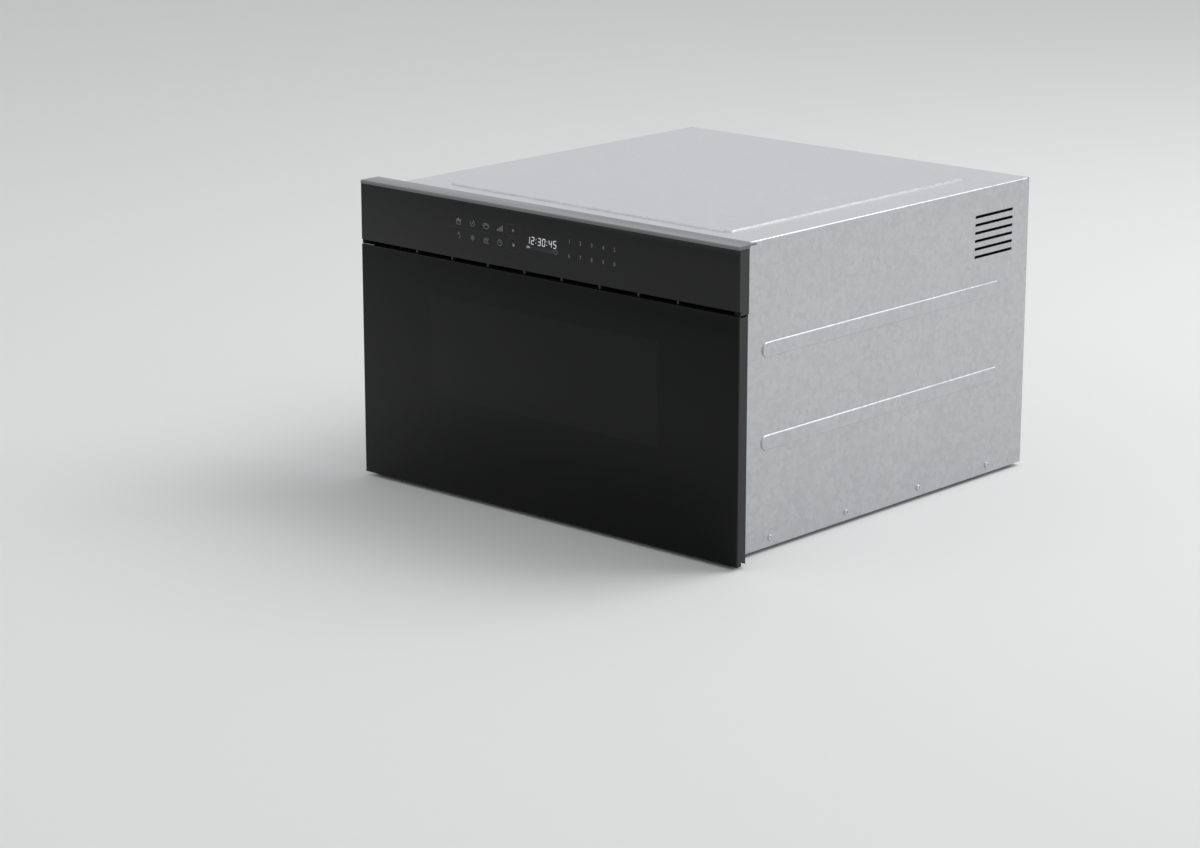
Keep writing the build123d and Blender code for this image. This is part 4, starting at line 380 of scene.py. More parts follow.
# Assemblies built as one piece: what a surface is made of follows from where it lies
stuffs = {
    "zinc": {"dark": (0.42, 0.43, 0.445), "light": (0.58, 0.59, 0.6), "rough": 0.34, "metal": 0.9},
    "core": {"dark": (0.045, 0.045, 0.05), "light": (0.16, 0.16, 0.17), "rough": 0.45, "metal": 0.6},
    "copper": {"dark": (0.36, 0.13, 0.05), "light": (0.62, 0.29, 0.13), "rough": 0.3, "metal": 0.9},
    "paper": {"dark": (0.5, 0.38, 0.17), "light": (0.64, 0.52, 0.3), "rough": 0.6, "metal": 0.0},
    "ferrite": {"dark": (0.015, 0.015, 0.017), "light": (0.045, 0.045, 0.05), "rough": 0.55, "metal": 0.0},
    "aluminium": {"dark": (0.55, 0.555, 0.565), "light": (0.72, 0.725, 0.735), "rough": 0.3, "metal": 1.0},
    "ceramic": {"dark": (0.66, 0.6, 0.56), "light": (0.78, 0.74, 0.7), "rough": 0.35, "metal": 0.0},
    "frosted": {"dark": (0.8, 0.78, 0.7), "light": (0.92, 0.9, 0.84), "rough": 0.25, "metal": 0.0},
    "black": {"dark": (0.012, 0.012, 0.013), "light": (0.03, 0.03, 0.031), "rough": 0.42, "metal": 0.0},
    "white": {"dark": (0.66, 0.66, 0.62), "light": (0.78, 0.78, 0.75), "rough": 0.4, "metal": 0.0},
    "blue": {"dark": (0.02, 0.07, 0.2), "light": (0.035, 0.11, 0.29), "rough": 0.38, "metal": 0.0},
    "lacquer": {"dark": (0.008, 0.07, 0.03), "light": (0.02, 0.15, 0.06), "rough": 0.3, "metal": 0.0},
}
# per node: what it's made of, the axis its sheets or tracks lie along (0 for X, 1 for Y, 2 for Z), then
# other stuffs, each with the axis its turns lie along and two corners of its place in millimetres
assemblies = {
    "hv_transformer": ("core", 1, (("zinc", None, (117, 173, 6), (223, 270, 8.25)),
                                   ("copper", 2, (130.9, 173, 22.1), (209.1, 270, 44.3)),
                                   ("paper", None, (130.9, 173, 54.1), (209.1, 270, 82.3)))),
    "hv_capacitor": ("aluminium", None, (("zinc", None, (21, 213.3, 6), (99, 229.5, 41)),
                                         ("black", None, (30, 176, 7.5), (90, 177.6, 39.5)))),
    "magnetron": ("zinc", None, (("aluminium", None, (-45.2, 183.6, 202.4), (45.2, 259.2, 251.8)),
                                 ("ferrite", None, (-28.2, 193.2, 185), (28.2, 249.6, 197.1)),
                                 ("ferrite", None, (-28.2, 193.2, 256.9), (28.2, 249.6, 269)),
                                 ("ceramic", None, (-12, 209, 271.1), (12, 234, 284)))),
    "fan_motor": ("zinc", None, (("core", 0, (-124.1, 197.2, 206.2), (-107.9, 245.6, 255.2)),
                                 ("copper", 0, (-130.2, 206, 179.8), (-101.8, 237, 206.1)))),
    "drive_motor": ("black", None, (("zinc", None, (104.1, -260, 8), (152.1, -160, 51)),
                                    ("aluminium", None, (152.2, -260, 8), (158, -160, 51)))),
    "oven_lamp": ("zinc", None, (("ceramic", None, (-262, 8, 200), (-241.6, 36, 230)),
                                 ("frosted", None, (-241.4, 15.5, 208.5), (-232.2, 28.8, 221.5)))),
    "control_board": ("lacquer", 1, (("black", None, (-118, -268.9, 300), (-82, -230, 370)),
                                     ("blue", None, (-66, -268.9, 300), (16, -230, 370)),
                                     ("white", None, (37, -268.9, 300), (83, -230, 370)),
                                     ("aluminium", None, (94, -268.9, 300), (122, -230, 370)))),
    "noise_filter": ("lacquer", 1, (("copper", 0, (-240, 264, 204), (-214, 284.9, 230)),
                                    ("blue", None, (-205, 264, 182), (-177, 284.9, 196)),
                                    ("ceramic", None, (-197, 264, 216), (-173, 284.9, 226)))),
    "touch_key_board": ("lacquer", 1, (("white", None, (-105, -291.2, 320), (108, -285, 350)),)),
}


# the sizes of what repeats on them, in millimetres: (pitch, start and end of the raised part, soft edge)
repeats = {"sheets": (0.8, 0.1, 0.7, 0.1), "turns": (0.9, 0.1, 0.8, 0.15), "tracks": (2.4, 0.5, 1.3, 0.1),
           "trackCells": 6.5, "trackEdge": 0.05}


def repeated(along, kind):
    pitch, start, end, soft = repeats[kind]
    return (along % pitch).between(start, end, soft)


def assemblyFinish(name, base, axis, zones):
    made = Finish(name)
    place = made.axes()
    grain = made.cloud(7, 3)
    main = stuffs[base]
    height = grain * 0.2
    share = grain
    if axis is not None:
        if base == "lacquer":
            # copper tracks under the green: straight ones, and some that wander round cells
            across = [place[k] for k in range(3) if k != axis]
            edge, _ = made.cells(repeats["trackCells"], feature="DISTANCE_TO_EDGE")
            lines = made.sum("MAXIMUM", repeated(across[0], "tracks"), (edge < repeats["trackEdge"]) * 0.9)
        else:
            lines = repeated(place[axis], "sheets")
        share = (grain * 0.4 + lines * 0.6).clamped()
        height = height + lines * 0.5
    color = made.blend(share, main["dark"], main["light"])
    rough = grain * 0.14 + (main["rough"] - 0.07)
    metal = grain * 0.02 + main["metal"] * 0.98
    for stuff, around, low, high in zones:
        kind = stuffs[stuff]
        here = made.inside(low, high)
        share = grain if around is None else grain * 0.3 + repeated(place[around], "turns") * 0.7
        color = made.blend(here, color, made.blend(share, kind["dark"], kind["light"]))
        rough = rough + here * (kind["rough"] - main["rough"])
        metal = (metal + here * (kind["metal"] - main["metal"])).clamped()
        if around is not None:
            height = height + here * share * 0.6
    made.paint(color=color, roughness=rough, metallic=metal)
    return made.relief(height, 0.1)


# Drawn aluminium: faint upright lines and a soft sheen
drawnCan = {"color": (0.66, 0.665, 0.675), "darker": 0.8, "lighter": 1.08, "roughness": 0.28}


def canFinish():
    made = Finish("drawnAluminium")
    lines = made.cloud(0.6, 2, (1, 1, 0.04))
    tone = made.cloud(30, 3)
    dark, light = shade(drawnCan["color"], drawnCan["darker"]), shade(drawnCan["color"], drawnCan["lighter"])
    made.paint(color=made.blend((lines * 0.5 + tone * 0.5).clamped(), dark, light),
               roughness=drawnCan["roughness"] + 0.2 * (lines - 0.5) + 0.1 * tone, metallic=1.0)
    return made.relief(lines, 0.008)


# Bright zinc rails: rolling lines along the travel and a faint colour cast
railSteel = {"light": (0.66, 0.67, 0.69), "dark": (0.5, 0.515, 0.54), "cast": (0.6, 0.6, 0.52),
             "roughness": 0.25}


def railSteelFinish():
    made = Finish("brightZinc", **{"Anisotropic": 0.3})
    lines = made.cloud(0.8, 3, (1, 0.02, 1))
    tone = made.cloud(45, 3)
    color = made.blend(lines, railSteel["dark"], railSteel["light"])
    color = made.blend((tone - 0.45).clamped() * 1.5, color, railSteel["cast"])
    made.paint(color=color, roughness=railSteel["roughness"] + 0.2 * (lines - 0.5) + 0.1 * tone, metallic=1.0)
    return made.relief(lines, 0.01)


# Ground shaft: rings round the X axis
groundShaft = {"dark": (0.42, 0.42, 0.44), "light": (0.62, 0.62, 0.635), "roughness": 0.2}


def shaftFinish():
    made = Finish("groundShaft")
    rings = made.cloud(0.5, 2, (1, 0.05, 0.05))
    made.paint(color=made.blend(rings, groundShaft["dark"], groundShaft["light"]),
               roughness=groundShaft["roughness"] + 0.16 * rings + 0.05 * made.cloud(40, 2), metallic=1.0)
    return made.relief(rings, 0.006)


# Dark cell behind the glass, with a fine grid
displayCell = {"color": (0.02, 0.025, 0.035), "grid": (0.012, 0.014, 0.018), "pitch": 1.0, "line": 0.12}


def displayBackFinish():
    made = Finish("displayCell")
    x, _, z = made.axes()
    across, up = [(way % displayCell["pitch"]).between(0.0, displayCell["line"], 0.02) for way in (x, z)]
    grid = made.sum("MAXIMUM", across, up)
    made.paint(color=made.blend(grid, displayCell["color"], displayCell["grid"]),
               roughness=0.25 + 0.15 * made.cloud(12, 2))
    return made.relief(grid, 0.02)


finishes = {
    "black_glass": blackGlassFinish(),
    "clear_glass": clearPaneFinish(),
    "trim_metal": trimMetalFinish(),
    "zinc_steel": zincSheetFinish(),
    "oven_enamel": ovenEnamelFinish(),
    "ceramic_white": ceramicFinish(),
    "mica": micaFinish(),
    "display": displayBackFinish(),
    "can_aluminium": canFinish(),
    "rail_steel": railSteelFinish(),
    "shaft_steel": shaftFinish(),
}
for slot, look in powderCoats.items():
    finishes[slot] = paintedFinish(**look)
for slot, look in plastics.items():
    finishes[slot] = mouldedFinish(**look)
for part in frame["record"]["subparts"]:
    node = part["node"]
    if node in assemblies:
        finish = assemblyFinish(node, *assemblies[node])
    else:
        finish = finishes[part["material_slot"]]
    for place in cad[node].material_slots:
        place.material = finish
stage("finishes on the CAD nodes")


def deselect():
    bpy.ops.object.select_all(action="DESELECT")


def use(piece):
    deselect()
    piece.select_set(True)
    bpy.context.view_layer.objects.active = piece
    return piece


def pick(piece, kind, test):
    # leaves the piece in edit mode with only what passes the test selected: test(middle, direction)
    use(piece)
    bpy.ops.object.mode_set(mode="EDIT")
    bpy.ops.mesh.select_mode(type=kind)
    bpy.ops.mesh.select_all(action="DESELECT")
    bpy.ops.object.mode_set(mode="OBJECT")
    mesh = piece.data
    if kind == "FACE":
        for face in mesh.polygons:
            face.select = bool(test(face.center, face.normal))
    elif kind == "EDGE":
        for edge in mesh.edges:
            first, last = [mesh.vertices[k].co for k in edge.vertices]
            edge.select = bool(test((first + last) / 2, (last - first).normalized()))
    else:
        for corner in mesh.vertices:
            corner.select = bool(test(corner.co, None))
    bpy.ops.object.mode_set(mode="EDIT")


def settle(piece):
    use(piece)
    bpy.ops.object.transform_apply(location=True, rotation=True, scale=True)
    return piece


def block(name, low, high):
    # a box between two corners, in metres, ready to be shaped
    deselect()
    low, high = Vector(low), Vector(high)
    bpy.ops.mesh.primitive_cube_add(size=1, location=(low + high) / 2, scale=high - low)
    piece = bpy.context.object
    piece.name = name
    return settle(piece)


def joined(name, pieces):
    deselect()
    for piece in pieces:
        piece.select_set(True)
    bpy.context.view_layer.objects.active = pieces[0]
    if len(pieces) > 1:
        bpy.ops.object.join()
    piece = bpy.context.object
    piece.name = name
    piece.data.name = name
    return piece


def copied(piece, shift):
    use(piece)
    bpy.ops.object.duplicate(linked=False)
    bpy.ops.transform.translate(value=shift)
    return settle(bpy.context.object)


def dressed(piece, material, body, angle=35):
    use(piece)
    piece.data.materials.clear()
    piece.data.materials.append(material)
    bpy.ops.object.shade_smooth_by_angle(angle=math.radians(angle))
    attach(piece, body)
    return piece


# Glass fronts: float glass with ground arrises. The control glass stands a little behind its print
glassFront = {"arris": 0.55, "arrisSteps": 3, "rearArris": 0.3, "printDepth": 0.05}


def glassPlate(name, node, body, setback=0.0):
    low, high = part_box(node)
    low.y += setback * mm
    glass = block(name, low, high)
    front, rear = low.y, high.y
    pick(glass, "EDGE", lambda at, way: abs(at.y - front) < 1e-5)
    bpy.ops.mesh.bevel(offset=glassFront["arris"] * mm, segments=glassFront["arrisSteps"], profile=0.5)
    bpy.ops.object.mode_set(mode="OBJECT")
    pick(glass, "EDGE", lambda at, way: abs(at.y - rear) < 1e-5)
    bpy.ops.mesh.bevel(offset=glassFront["rearArris"] * mm, segments=1)
    bpy.ops.object.mode_set(mode="OBJECT")
    dressed(glass, finishes["black_glass"], body, 50)
    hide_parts(node)


glassPlate("touchPanelGlass", "control_glass", "housing", glassFront["printDepth"])
glassPlate("drawerFrontGlass", "drawer_glass", "drawer")
stage("glass fronts")

# Print on the touch panel. All places are in millimetres: x from the middle, z above the floor
panelPrint = {"front": 0.01, "back": 0.09}  # behind the glass's front plane
top = round(cadBox[1][2] / mm, 1)
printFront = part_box("control_glass")[0].y
printLow, printHigh = printFront + panelPrint["front"] * mm, printFront + panelPrint["back"] * mm


def plate(x, z, width, height, turn=0.0, low=printLow):
    # a thin plate on the glass, turned about its middle
    across, up = width / 2 * mm, height / 2 * mm
    made = block("mark", (-across, low, -up), (across, printHigh, up))
    made.rotation_euler = (0, math.radians(-turn), 0)
    made.location = (x * mm, 0, z * mm)
    return settle(made)


def cutCorners(made, size, steps=1):
    # one step cuts the plate's corners off, more of them round it
    pick(made, "EDGE", lambda at, way: abs(way.y) > 0.9)
    bpy.ops.mesh.bevel(offset=size * mm, segments=steps, clamp_overlap=True)
    bpy.ops.object.mode_set(mode="OBJECT")
    return made


def hollowed(made, line):
    # leaves only a line round the plate's edge
    pick(made, "FACE", lambda at, way: abs(way.y) > 0.9)
    bpy.ops.mesh.inset(thickness=line * mm)
    bpy.ops.mesh.bridge_edge_loops()
    bpy.ops.object.mode_set(mode="OBJECT")
    return made


def disc(x, z, radius, sides=20):
    deselect()
    middle = (printLow + printHigh) / 2
    bpy.ops.mesh.primitive_cylinder_add(vertices=sides, radius=radius * mm, depth=printHigh - printLow,
                                        location=(x * mm, middle, z * mm), rotation=(math.radians(90), 0, 0))
    made = settle(bpy.context.object)
    pick(made, "FACE", lambda at, way: way.y < -0.9)
    bpy.ops.mesh.inset(thickness=0.12 * radius * mm, depth=0.005 * mm)
    bpy.ops.object.mode_set(mode="OBJECT")
    return made


def arc(x, z, radius, line, start, sweep, steps=18):
    # a curved line: one cross-section spun about its middle, angles from +X towards +Z
    deselect()
    middle = (printLow + printHigh) / 2
    bpy.ops.mesh.primitive_plane_add(size=1, location=(radius * mm, middle, 0))
    made = bpy.context.object
    made.scale = (line * mm, printHigh - printLow, 1)
    settle(made)
    bpy.ops.object.mode_set(mode="EDIT")
    bpy.ops.mesh.select_all(action="SELECT")
    bpy.ops.mesh.spin(steps=steps, angle=math.radians(sweep), center=(0, middle, 0), axis=(0, -1, 0))
    bpy.ops.mesh.select_all(action="SELECT")
    bpy.ops.mesh.remove_doubles(threshold=0.001 * mm)
    bpy.ops.mesh.normals_make_consistent(inside=False)
    bpy.ops.object.mode_set(mode="OBJECT")
    made.rotation_euler = (0, math.radians(-start), 0)
    made.location = (x * mm, 0, z * mm)
    return settle(made)


def wedge(x, z, width, height, turn=0.0):
    # a plate whose top side is drawn together, nearly to a point
    made = plate(0, 0, width, height)
    pick(made, "VERT", lambda at, way: at.z > 0)
    bpy.ops.transform.resize(value=(0.02, 1, 1), center_override=(0, 0, 0))
    bpy.ops.object.mode_set(mode="OBJECT")
    made.rotation_euler = (0, math.radians(-turn), 0)
    made.location = (x * mm, 0, z * mm)
    return settle(made)


def figure(text, x, z, height):
    deselect()
    bpy.ops.object.text_add(location=(0, 0, 0))
    made = bpy.context.object
    made.data.body = text
    made.data.align_x = "CENTER"
    made.data.align_y = "CENTER"
    made.data.resolution_u = 4
    made.data.extrude = 0.5  # to each side, so 1 deep before it is scaled
    bpy.ops.object.convert(target="MESH")
    made = bpy.context.object
    size = height * mm / made.dimensions.y
    middle = sum((Vector(corner) for corner in made.bound_box), Vector()) / 8
    made.data.transform(Matrix.Translation(-middle))
    made.scale = (keys["figureNarrowing"] * size, size, printHigh - printLow)
    made.rotation_euler = (math.radians(90), 0, 0)
    made.location = (x * mm, (printLow + printHigh) / 2, z * mm)
    return settle(made)


# Touch keys: plain signs in two rows on the left, and the figures in two rows on the right.
# The rows are measured down from the top, and the divider has its left end, right end and drop
keys = {"columns": (-134.5, -111.4, -88.7, -66.0), "rows": (28.7, 46.0), "line": 0.45, "signScale": 1.4,
        "divider": (-149.0, -77.6, 36.9), "dividerLine": 0.25,
        "figureColumns": (46.0, 63.6, 81.3, 99.4, 116.7), "figureRows": (29.0, 46.0),
        "figureHeight": 4.7, "figureNarrowing": 0.92}
line = keys["line"]


def cupSign(x, z):
    # a cup heaped full
    return [disc(x - 1.9, z + 0.9, 0.75), disc(x, z + 1.5, 0.85), disc(x + 1.9, z + 0.9, 0.75),
            plate(x, z - 0.1, 5.8, line), plate(x - 2.2, z - 1.5, line, 3.0, -14),
            plate(x + 2.2, z - 1.5, line, 3.0, 14), plate(x, z - 2.9, 3.7, line)]


def warmAgainSign(x, z):
    # a turn with an arrow head
    return [arc(x, z, 2.5, line, 60, 280), wedge(x + 1.55, z + 2.05, 1.7, 1.7, -60), disc(x, z, 0.7)]


def potSign(x, z):
    # a pot with its lid, knob and two handles
    pot = hollowed(cutCorners(plate(x, z - 0.8, 5.4, 3.4), 0.6, 3), line)
    return [pot, plate(x, z + 1.6, 6.4, line), plate(x, z + 2.1, 1.3, 0.6),
            plate(x - 3.6, z - 0.1, 1.4, line), plate(x + 3.6, z - 0.1, 1.4, line)]


def levelSign(x, z):
    # five bars that grow to the right
    heights = [1.3 + 0.95 * k for k in range(5)]
    return [plate(x - 3.0 + 1.5 * k, z - 2.4 + tall / 2, 0.85, tall) for k, tall in enumerate(heights)]


def dropSign(x, z):
    return [arc(x, z - 0.8, 1.75, line, 150, 240), plate(x - 0.85, z + 1.35, line, 2.9, -31),
            plate(x + 0.85, z + 1.35, line, 2.9, 31)]


def frostSign(x, z):
    arms = [plate(x, z, line, 5.2, 60 * k) for k in range(3)]
    for k in range(6):
        turn = math.radians(60 * k + 90)
        arms.append(plate(x + 1.75 * math.cos(turn), z + 1.75 * math.sin(turn), 1.5, 0.8 * line, 60 * k))
    return arms


def steamSign(x, z):
    made = [plate(x, z - 2.5, 6.2, line)]
    for k in (-1, 0, 1):
        made.append(arc(x + 1.9 * k, z - 0.6, 0.85, line, -90, 180, 10))
        made.append(arc(x + 1.9 * k, z + 1.1, 0.85, line, 90, 180, 10))
    return made


def clockSign(x, z):
    return [arc(x, z, 2.5, line, 0, 360, 32), plate(x, z + 0.8, line, 1.8), plate(x + 0.6, z, 1.4, line)]


signs = ((cupSign, warmAgainSign, potSign, levelSign), (dropSign, frostSign, steamSign, clockSign))
marks = []
for drop, row in zip(keys["rows"], signs):
    for x, sign in zip(keys["columns"], row):
        drawn = joined("sign", sign(0, 0))
        drawn.scale = (keys["signScale"], 1, keys["signScale"])
        drawn.location = (x * mm, 0, (top - drop) * mm)
        marks.append(settle(drawn))
for row, drop in enumerate(keys["figureRows"]):
    for column, x in enumerate(keys["figureColumns"]):
        marks.append(figure(str((5 * row + column + 1) % 10), x, top - drop, keys["figureHeight"]))
legend = joined("panelFigures", marks)
stage("signs and figures, %d marks" % len(marks))

# Start and stop keys: a thin outline each, with a triangle and a square inside
bigKeys = {"x": -43.65, "width": 21.5, "startZ": top - 28.3, "startHeight": 14.4, "startCorner": 1.0,
           "stopZ": top - 45.85, "stopHeight": 15.7, "stopCorner": 4.2, "line": 0.32,
           "sign": 3.6, "signCorner": 0.3, "triangleLonger": 0.4}
displayRing = {"x": 24.25, "z": 331.6, "radius": 2.8, "line": 0.3}  # a small sign low in the display


def outline(z, height, corner, steps=1):
    made = cutCorners(plate(bigKeys["x"], z, bigKeys["width"], height), corner, steps)
    return hollowed(made, bigKeys["line"])


left, right, drop = keys["divider"]
outlines = [outline(bigKeys["startZ"], bigKeys["startHeight"], bigKeys["startCorner"], 4),
            outline(bigKeys["stopZ"], bigKeys["stopHeight"], bigKeys["stopCorner"]),
            plate((left + right) / 2, top - drop, right - left, keys["dividerLine"])]
keyOutlines = joined("keyOutlines", outlines)
size = bigKeys["sign"]
triangle = wedge(bigKeys["x"], bigKeys["startZ"], size + bigKeys["triangleLonger"], size, -90)
square = cutCorners(plate(bigKeys["x"], bigKeys["stopZ"], size, size), bigKeys["signCorner"], 2)
ring = arc(displayRing["x"], displayRing["z"], displayRing["radius"], displayRing["line"], 0, 360, 28)
startStop = joined("startStopSigns", [triangle, square, ring])

inks = {"figures": (0.2, 0.203, 0.205), "outlines": (0.05, 0.05, 0.051)}


def inkFinish(name, color):
    made = Finish(name, **{"Specular IOR Level": 0.35})
    wear = made.cloud(0.5, 2)
    made.paint(color=made.blend(wear * 0.35, color, shade(color, 0.7)), roughness=0.35 + 0.2 * wear)
    return made.relief(wear, 0.003)


greyInk = inkFinish("greyInk", inks["figures"])
dressed(legend, greyInk, "housing")
dressed(startStop, greyInk, "housing")
dressed(keyOutlines, inkFinish("dimInk", inks["outlines"]), "housing")

# Display: a bluish window with a lit clock of seven-segment figures
clock = {"x": 1.75, "z": 337.6, "width": 54.3, "height": 17.6, "corner": 0.8, "behind": 0.035,
         "text": "12:30:45", "figureZ": 339.9, "figureHeight": 9.3, "figureWidth": 5.0, "space": 2.1,
         "stroke": 1.0, "point": 0.46, "gap": 0.12, "levelLonger": 0.6, "slant": 0.1,
         "colonWidth": 1.4, "colonRise": 2.1, "colonDot": 1.1, "colonCorner": 0.3,
         "onPlace": (-20.6, -6.0), "onHeight": 2.7, "lit": (0.5, 0.505, 0.52), "glow": 0.9,
         "cell": (0.0048, 0.0048, 0.0052), "band": (0.026, 0.026, 0.035), "bandTop": 334.6, "bandFade": 2.5}
# bars a to f run clockwise from the top one, and g is the middle one
litBars = {"0": "abcdef", "1": "bc", "2": "abdeg", "3": "abcdg", "4": "bcfg", "5": "acdfg", "6": "acdefg",
           "7": "abc", "8": "abcdefg", "9": "abcdfg"}


def displayWindow():
    low = printFront + clock["behind"] * mm
    made = plate(clock["x"], clock["z"], clock["width"], clock["height"], low=low)
    return joined("displayWindow", [cutCorners(made, clock["corner"], 4)])


def bar(length, across):
    # one bar with both ends brought to a blunt point
    width, height = (length, clock["stroke"]) if across else (clock["stroke"], length)
    return cutCorners(plate(0, 0, width, height), clock["point"] * clock["stroke"])


def clockSegments():
    edge = (clock["figureHeight"] - clock["stroke"]) / 2
    side = (clock["figureWidth"] - clock["stroke"]) / 2
    upright = bar(edge - clock["gap"], False)
    level = bar(2 * (side - clock["gap"]) + clock["levelLonger"], True)
    places = {"a": (level, 0, edge), "b": (upright, side, edge / 2), "c": (upright, side, -edge / 2),
              "d": (level, 0, -edge), "e": (upright, -side, -edge / 2), "f": (upright, -side, edge / 2),
              "g": (level, 0, 0)}
    widths = [clock["colonWidth"] if sign == ":" else clock["figureWidth"] for sign in clock["text"]]
    start = clock["x"] - (sum(widths) + clock["space"] * (len(widths) - 1)) / 2
    lights = []
    for sign, width in zip(clock["text"], widths):
        middle = start + width / 2
        if sign == ":":
            for rise in (-clock["colonRise"], clock["colonRise"]):
                dot = plate(middle, clock["figureZ"] + rise, clock["colonDot"], clock["colonDot"])
                lights.append(cutCorners(dot, clock["colonCorner"], 2))
        else:
            for name in litBars[sign]:
                shape, across, up = places[name]
                lights.append(copied(shape, ((middle + across) * mm, 0, (clock["figureZ"] + up) * mm)))
        start += width + clock["space"]
    for spare in (upright, level):
        bpy.data.objects.remove(spare)
    right, up = clock["onPlace"]
    lights.append(figure("ON", clock["x"] + right, clock["z"] + up, clock["onHeight"]))
    made = joined("clockSegments", lights)
    for corner in made.data.vertices:  # the figures lean a little to the right
        corner.co.x += clock["slant"] * (corner.co.z - clock["figureZ"] * mm)
    return made


def displayCellFinish():
    # dark, with a dim band along the bottom that grows to the right
    made = Finish("displayWindowTint", **{"Specular IOR Level": 0.3})
    x, _, z = made.axes()
    growing = ((x - clock["x"]) / clock["width"] + 0.75).clamped()
    band = ((clock["bandTop"] - z) / clock["bandFade"]).clamped() * growing
    made.paint(color=made.blend(band, clock["cell"], clock["band"]), roughness=0.08 + 0.1 * made.cloud(14, 2))
    return made.relief(made.cloud(20, 1), 0.004)


def segmentFinish():
    made = Finish("litSegments", **{"Emission Strength": clock["glow"]})
    tone = made.cloud(2.5, 2)
    made.paint(color=made.blend(tone, (0.2, 0.2, 0.22), (0.3, 0.3, 0.32)), roughness=0.4 + 0.1 * tone,
               light=made.blend(tone * 0.4, clock["lit"], shade(clock["lit"], 0.8)))
    return made.relief(tone, 0.002)


dressed(displayWindow(), displayCellFinish(), "housing")
dressed(clockSegments(), segmentFinish(), "housing")
stage("display")

# Rubber at the air gap: an end stop on each side of it, and a strip along the drawer's top. Their near-black
# colour is partly the rubber's own and partly painted shade, standing for the dark of the shaded gap.
gapRubberAndShade = {"end": (296.2, 302.2), "setback": 0.8, "tuck": 0.4, "below": 0.1, "above": 0.5, "round": 0.5,
             "stripHalf": 301.0, "stripDepth": 14.0, "stripTop": 296.3,
             "color": (0.004, 0.004, 0.0042), "bloom": (0.007, 0.007, 0.0073)}


# near-black rubber whose colour also carries the painted shade of the air gap
def rubberAndShadeFinish():
    made = Finish("blackRubberAndShade", **{"Specular IOR Level": 0.12})
    bloom = made.cloud(40, 3)
    made.paint(color=made.blend(bloom, gapRubberAndShade["color"], gapRubberAndShade["bloom"]), roughness=0.7 + 0.2 * bloom)
    return made.relief(made.cloud(0.6, 2), 0.02)


panelLow, panelHigh = [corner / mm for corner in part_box("control_glass")]
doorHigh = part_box("drawer_glass")[1] / mm
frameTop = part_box("door_frame")[1].z / mm
inner, outer = gapRubberAndShade["end"]
ends = []
for left, right in ((-outer, -inner), (inner, outer)):
    low = Vector((left, panelLow.y + gapRubberAndShade["setback"], doorHigh.z + gapRubberAndShade["above"])) * mm
    high = Vector((right, panelHigh.y + gapRubberAndShade["tuck"], panelLow.z - gapRubberAndShade["below"])) * mm
    ends.append(block("gapEnd", low, high))
    pick(ends[-1], "EDGE", lambda at, way: abs(way.x) > 0.9)
    bpy.ops.mesh.bevel(offset=gapRubberAndShade["round"] * mm, segments=2, profile=0.5)
    bpy.ops.object.mode_set(mode="OBJECT")
half = gapRubberAndShade["stripHalf"]
low = Vector((-half, doorHigh.y, frameTop)) * mm
high = Vector((half, doorHigh.y + gapRubberAndShade["stripDepth"], gapRubberAndShade["stripTop"])) * mm
strip = block("drawerTopStrip", low, high)
# the gap's pieces get the near-black rubber, partly painted shade
rubber = rubberAndShadeFinish()
dressed(joined("gapEndStops", ends), rubber, "housing")
dressed(strip, rubber, "drawer")
stage("rubber at the air gap")

# Screws: pan heads with a pressed cross recess. The rim and the cross's half width and reach are shares of
# the head's radius, the crown is a share of its height, and the rest is in millimetres and degrees
screwShape = {"sides": 28, "rim": 0.3, "crown": 0.35,
              "crossWidth": 0.13, "crossReach": 0.55, "crossDepth": 0.55}
caseScrews = {"radius": 4.0, "height": 1.8, "shank": 1.98, "shankLength": 1.9,
              "turns": (12, 47, 78, 31, 65, 5),
              "rearX": 268.8, "rearY": 293.85, "rearZ": (65.0, 188.1, 311.2), "topX": 120, "topZ": 362.2,
              "sideX": 277.8, "sideY": 8.0, "sidePitch": 142.325, "sideZ": 15.0}
footScrews = {"radius": 3.6, "height": 2.15, "shank": 1.98, "shankLength": 1.9, "turns": (20, 70, 44),
              "x": 249.4, "y": -276.15, "z": (26.5, 46.5)}


def screwHead(screw):
    # modelled once, its seat at the origin, facing +Y
    radius, height = screw["radius"] * mm, screw["height"] * mm
    deselect()
    bpy.ops.mesh.primitive_cylinder_add(vertices=screwShape["sides"], radius=radius, depth=height,
                                        location=(0, height / 2, 0), rotation=(math.radians(-90), 0, 0))
    head = settle(bpy.context.object)
    pick(head, "FACE", lambda at, way: way.y > 0.9)
    bpy.ops.mesh.inset(thickness=screwShape["rim"] * radius)
    bpy.ops.object.mode_set(mode="OBJECT")
    # the outer edge of the top is rounded off
    pick(head, "EDGE", lambda at, way: abs(at.y - height) < 1e-6 and math.hypot(at.x, at.z) > 0.9 * radius)
    bpy.ops.mesh.bevel(offset=screwShape["crown"] * height, segments=3)
    bpy.ops.object.mode_set(mode="OBJECT")
    # the shank grows out of the underside
    pick(head, "FACE", lambda at, way: way.y < -0.9)
    bpy.ops.mesh.inset(thickness=radius - screw["shank"] * mm)
    bpy.ops.mesh.extrude_region_move(TRANSFORM_OT_translate={"value": (0, -screw["shankLength"] * mm, 0)})
    bpy.ops.object.mode_set(mode="OBJECT")
    across, reach = screwShape["crossWidth"] * radius, screwShape["crossReach"] * radius
    for turn in (0, 90):
        cutter = block("cutter", (-across, height - screwShape["crossDepth"] * mm, -reach),
                       (across, height + 1 * mm, reach))
        cutter.rotation_euler = (0, math.radians(turn), 0)
        settle(cutter)
        cut = head.modifiers.new("recess", "BOOLEAN")
        cut.object = cutter
        cut.operation = "DIFFERENCE"
        use(head)
        bpy.ops.object.modifier_apply(modifier=cut.name)
        bpy.data.objects.remove(cutter)
    return head


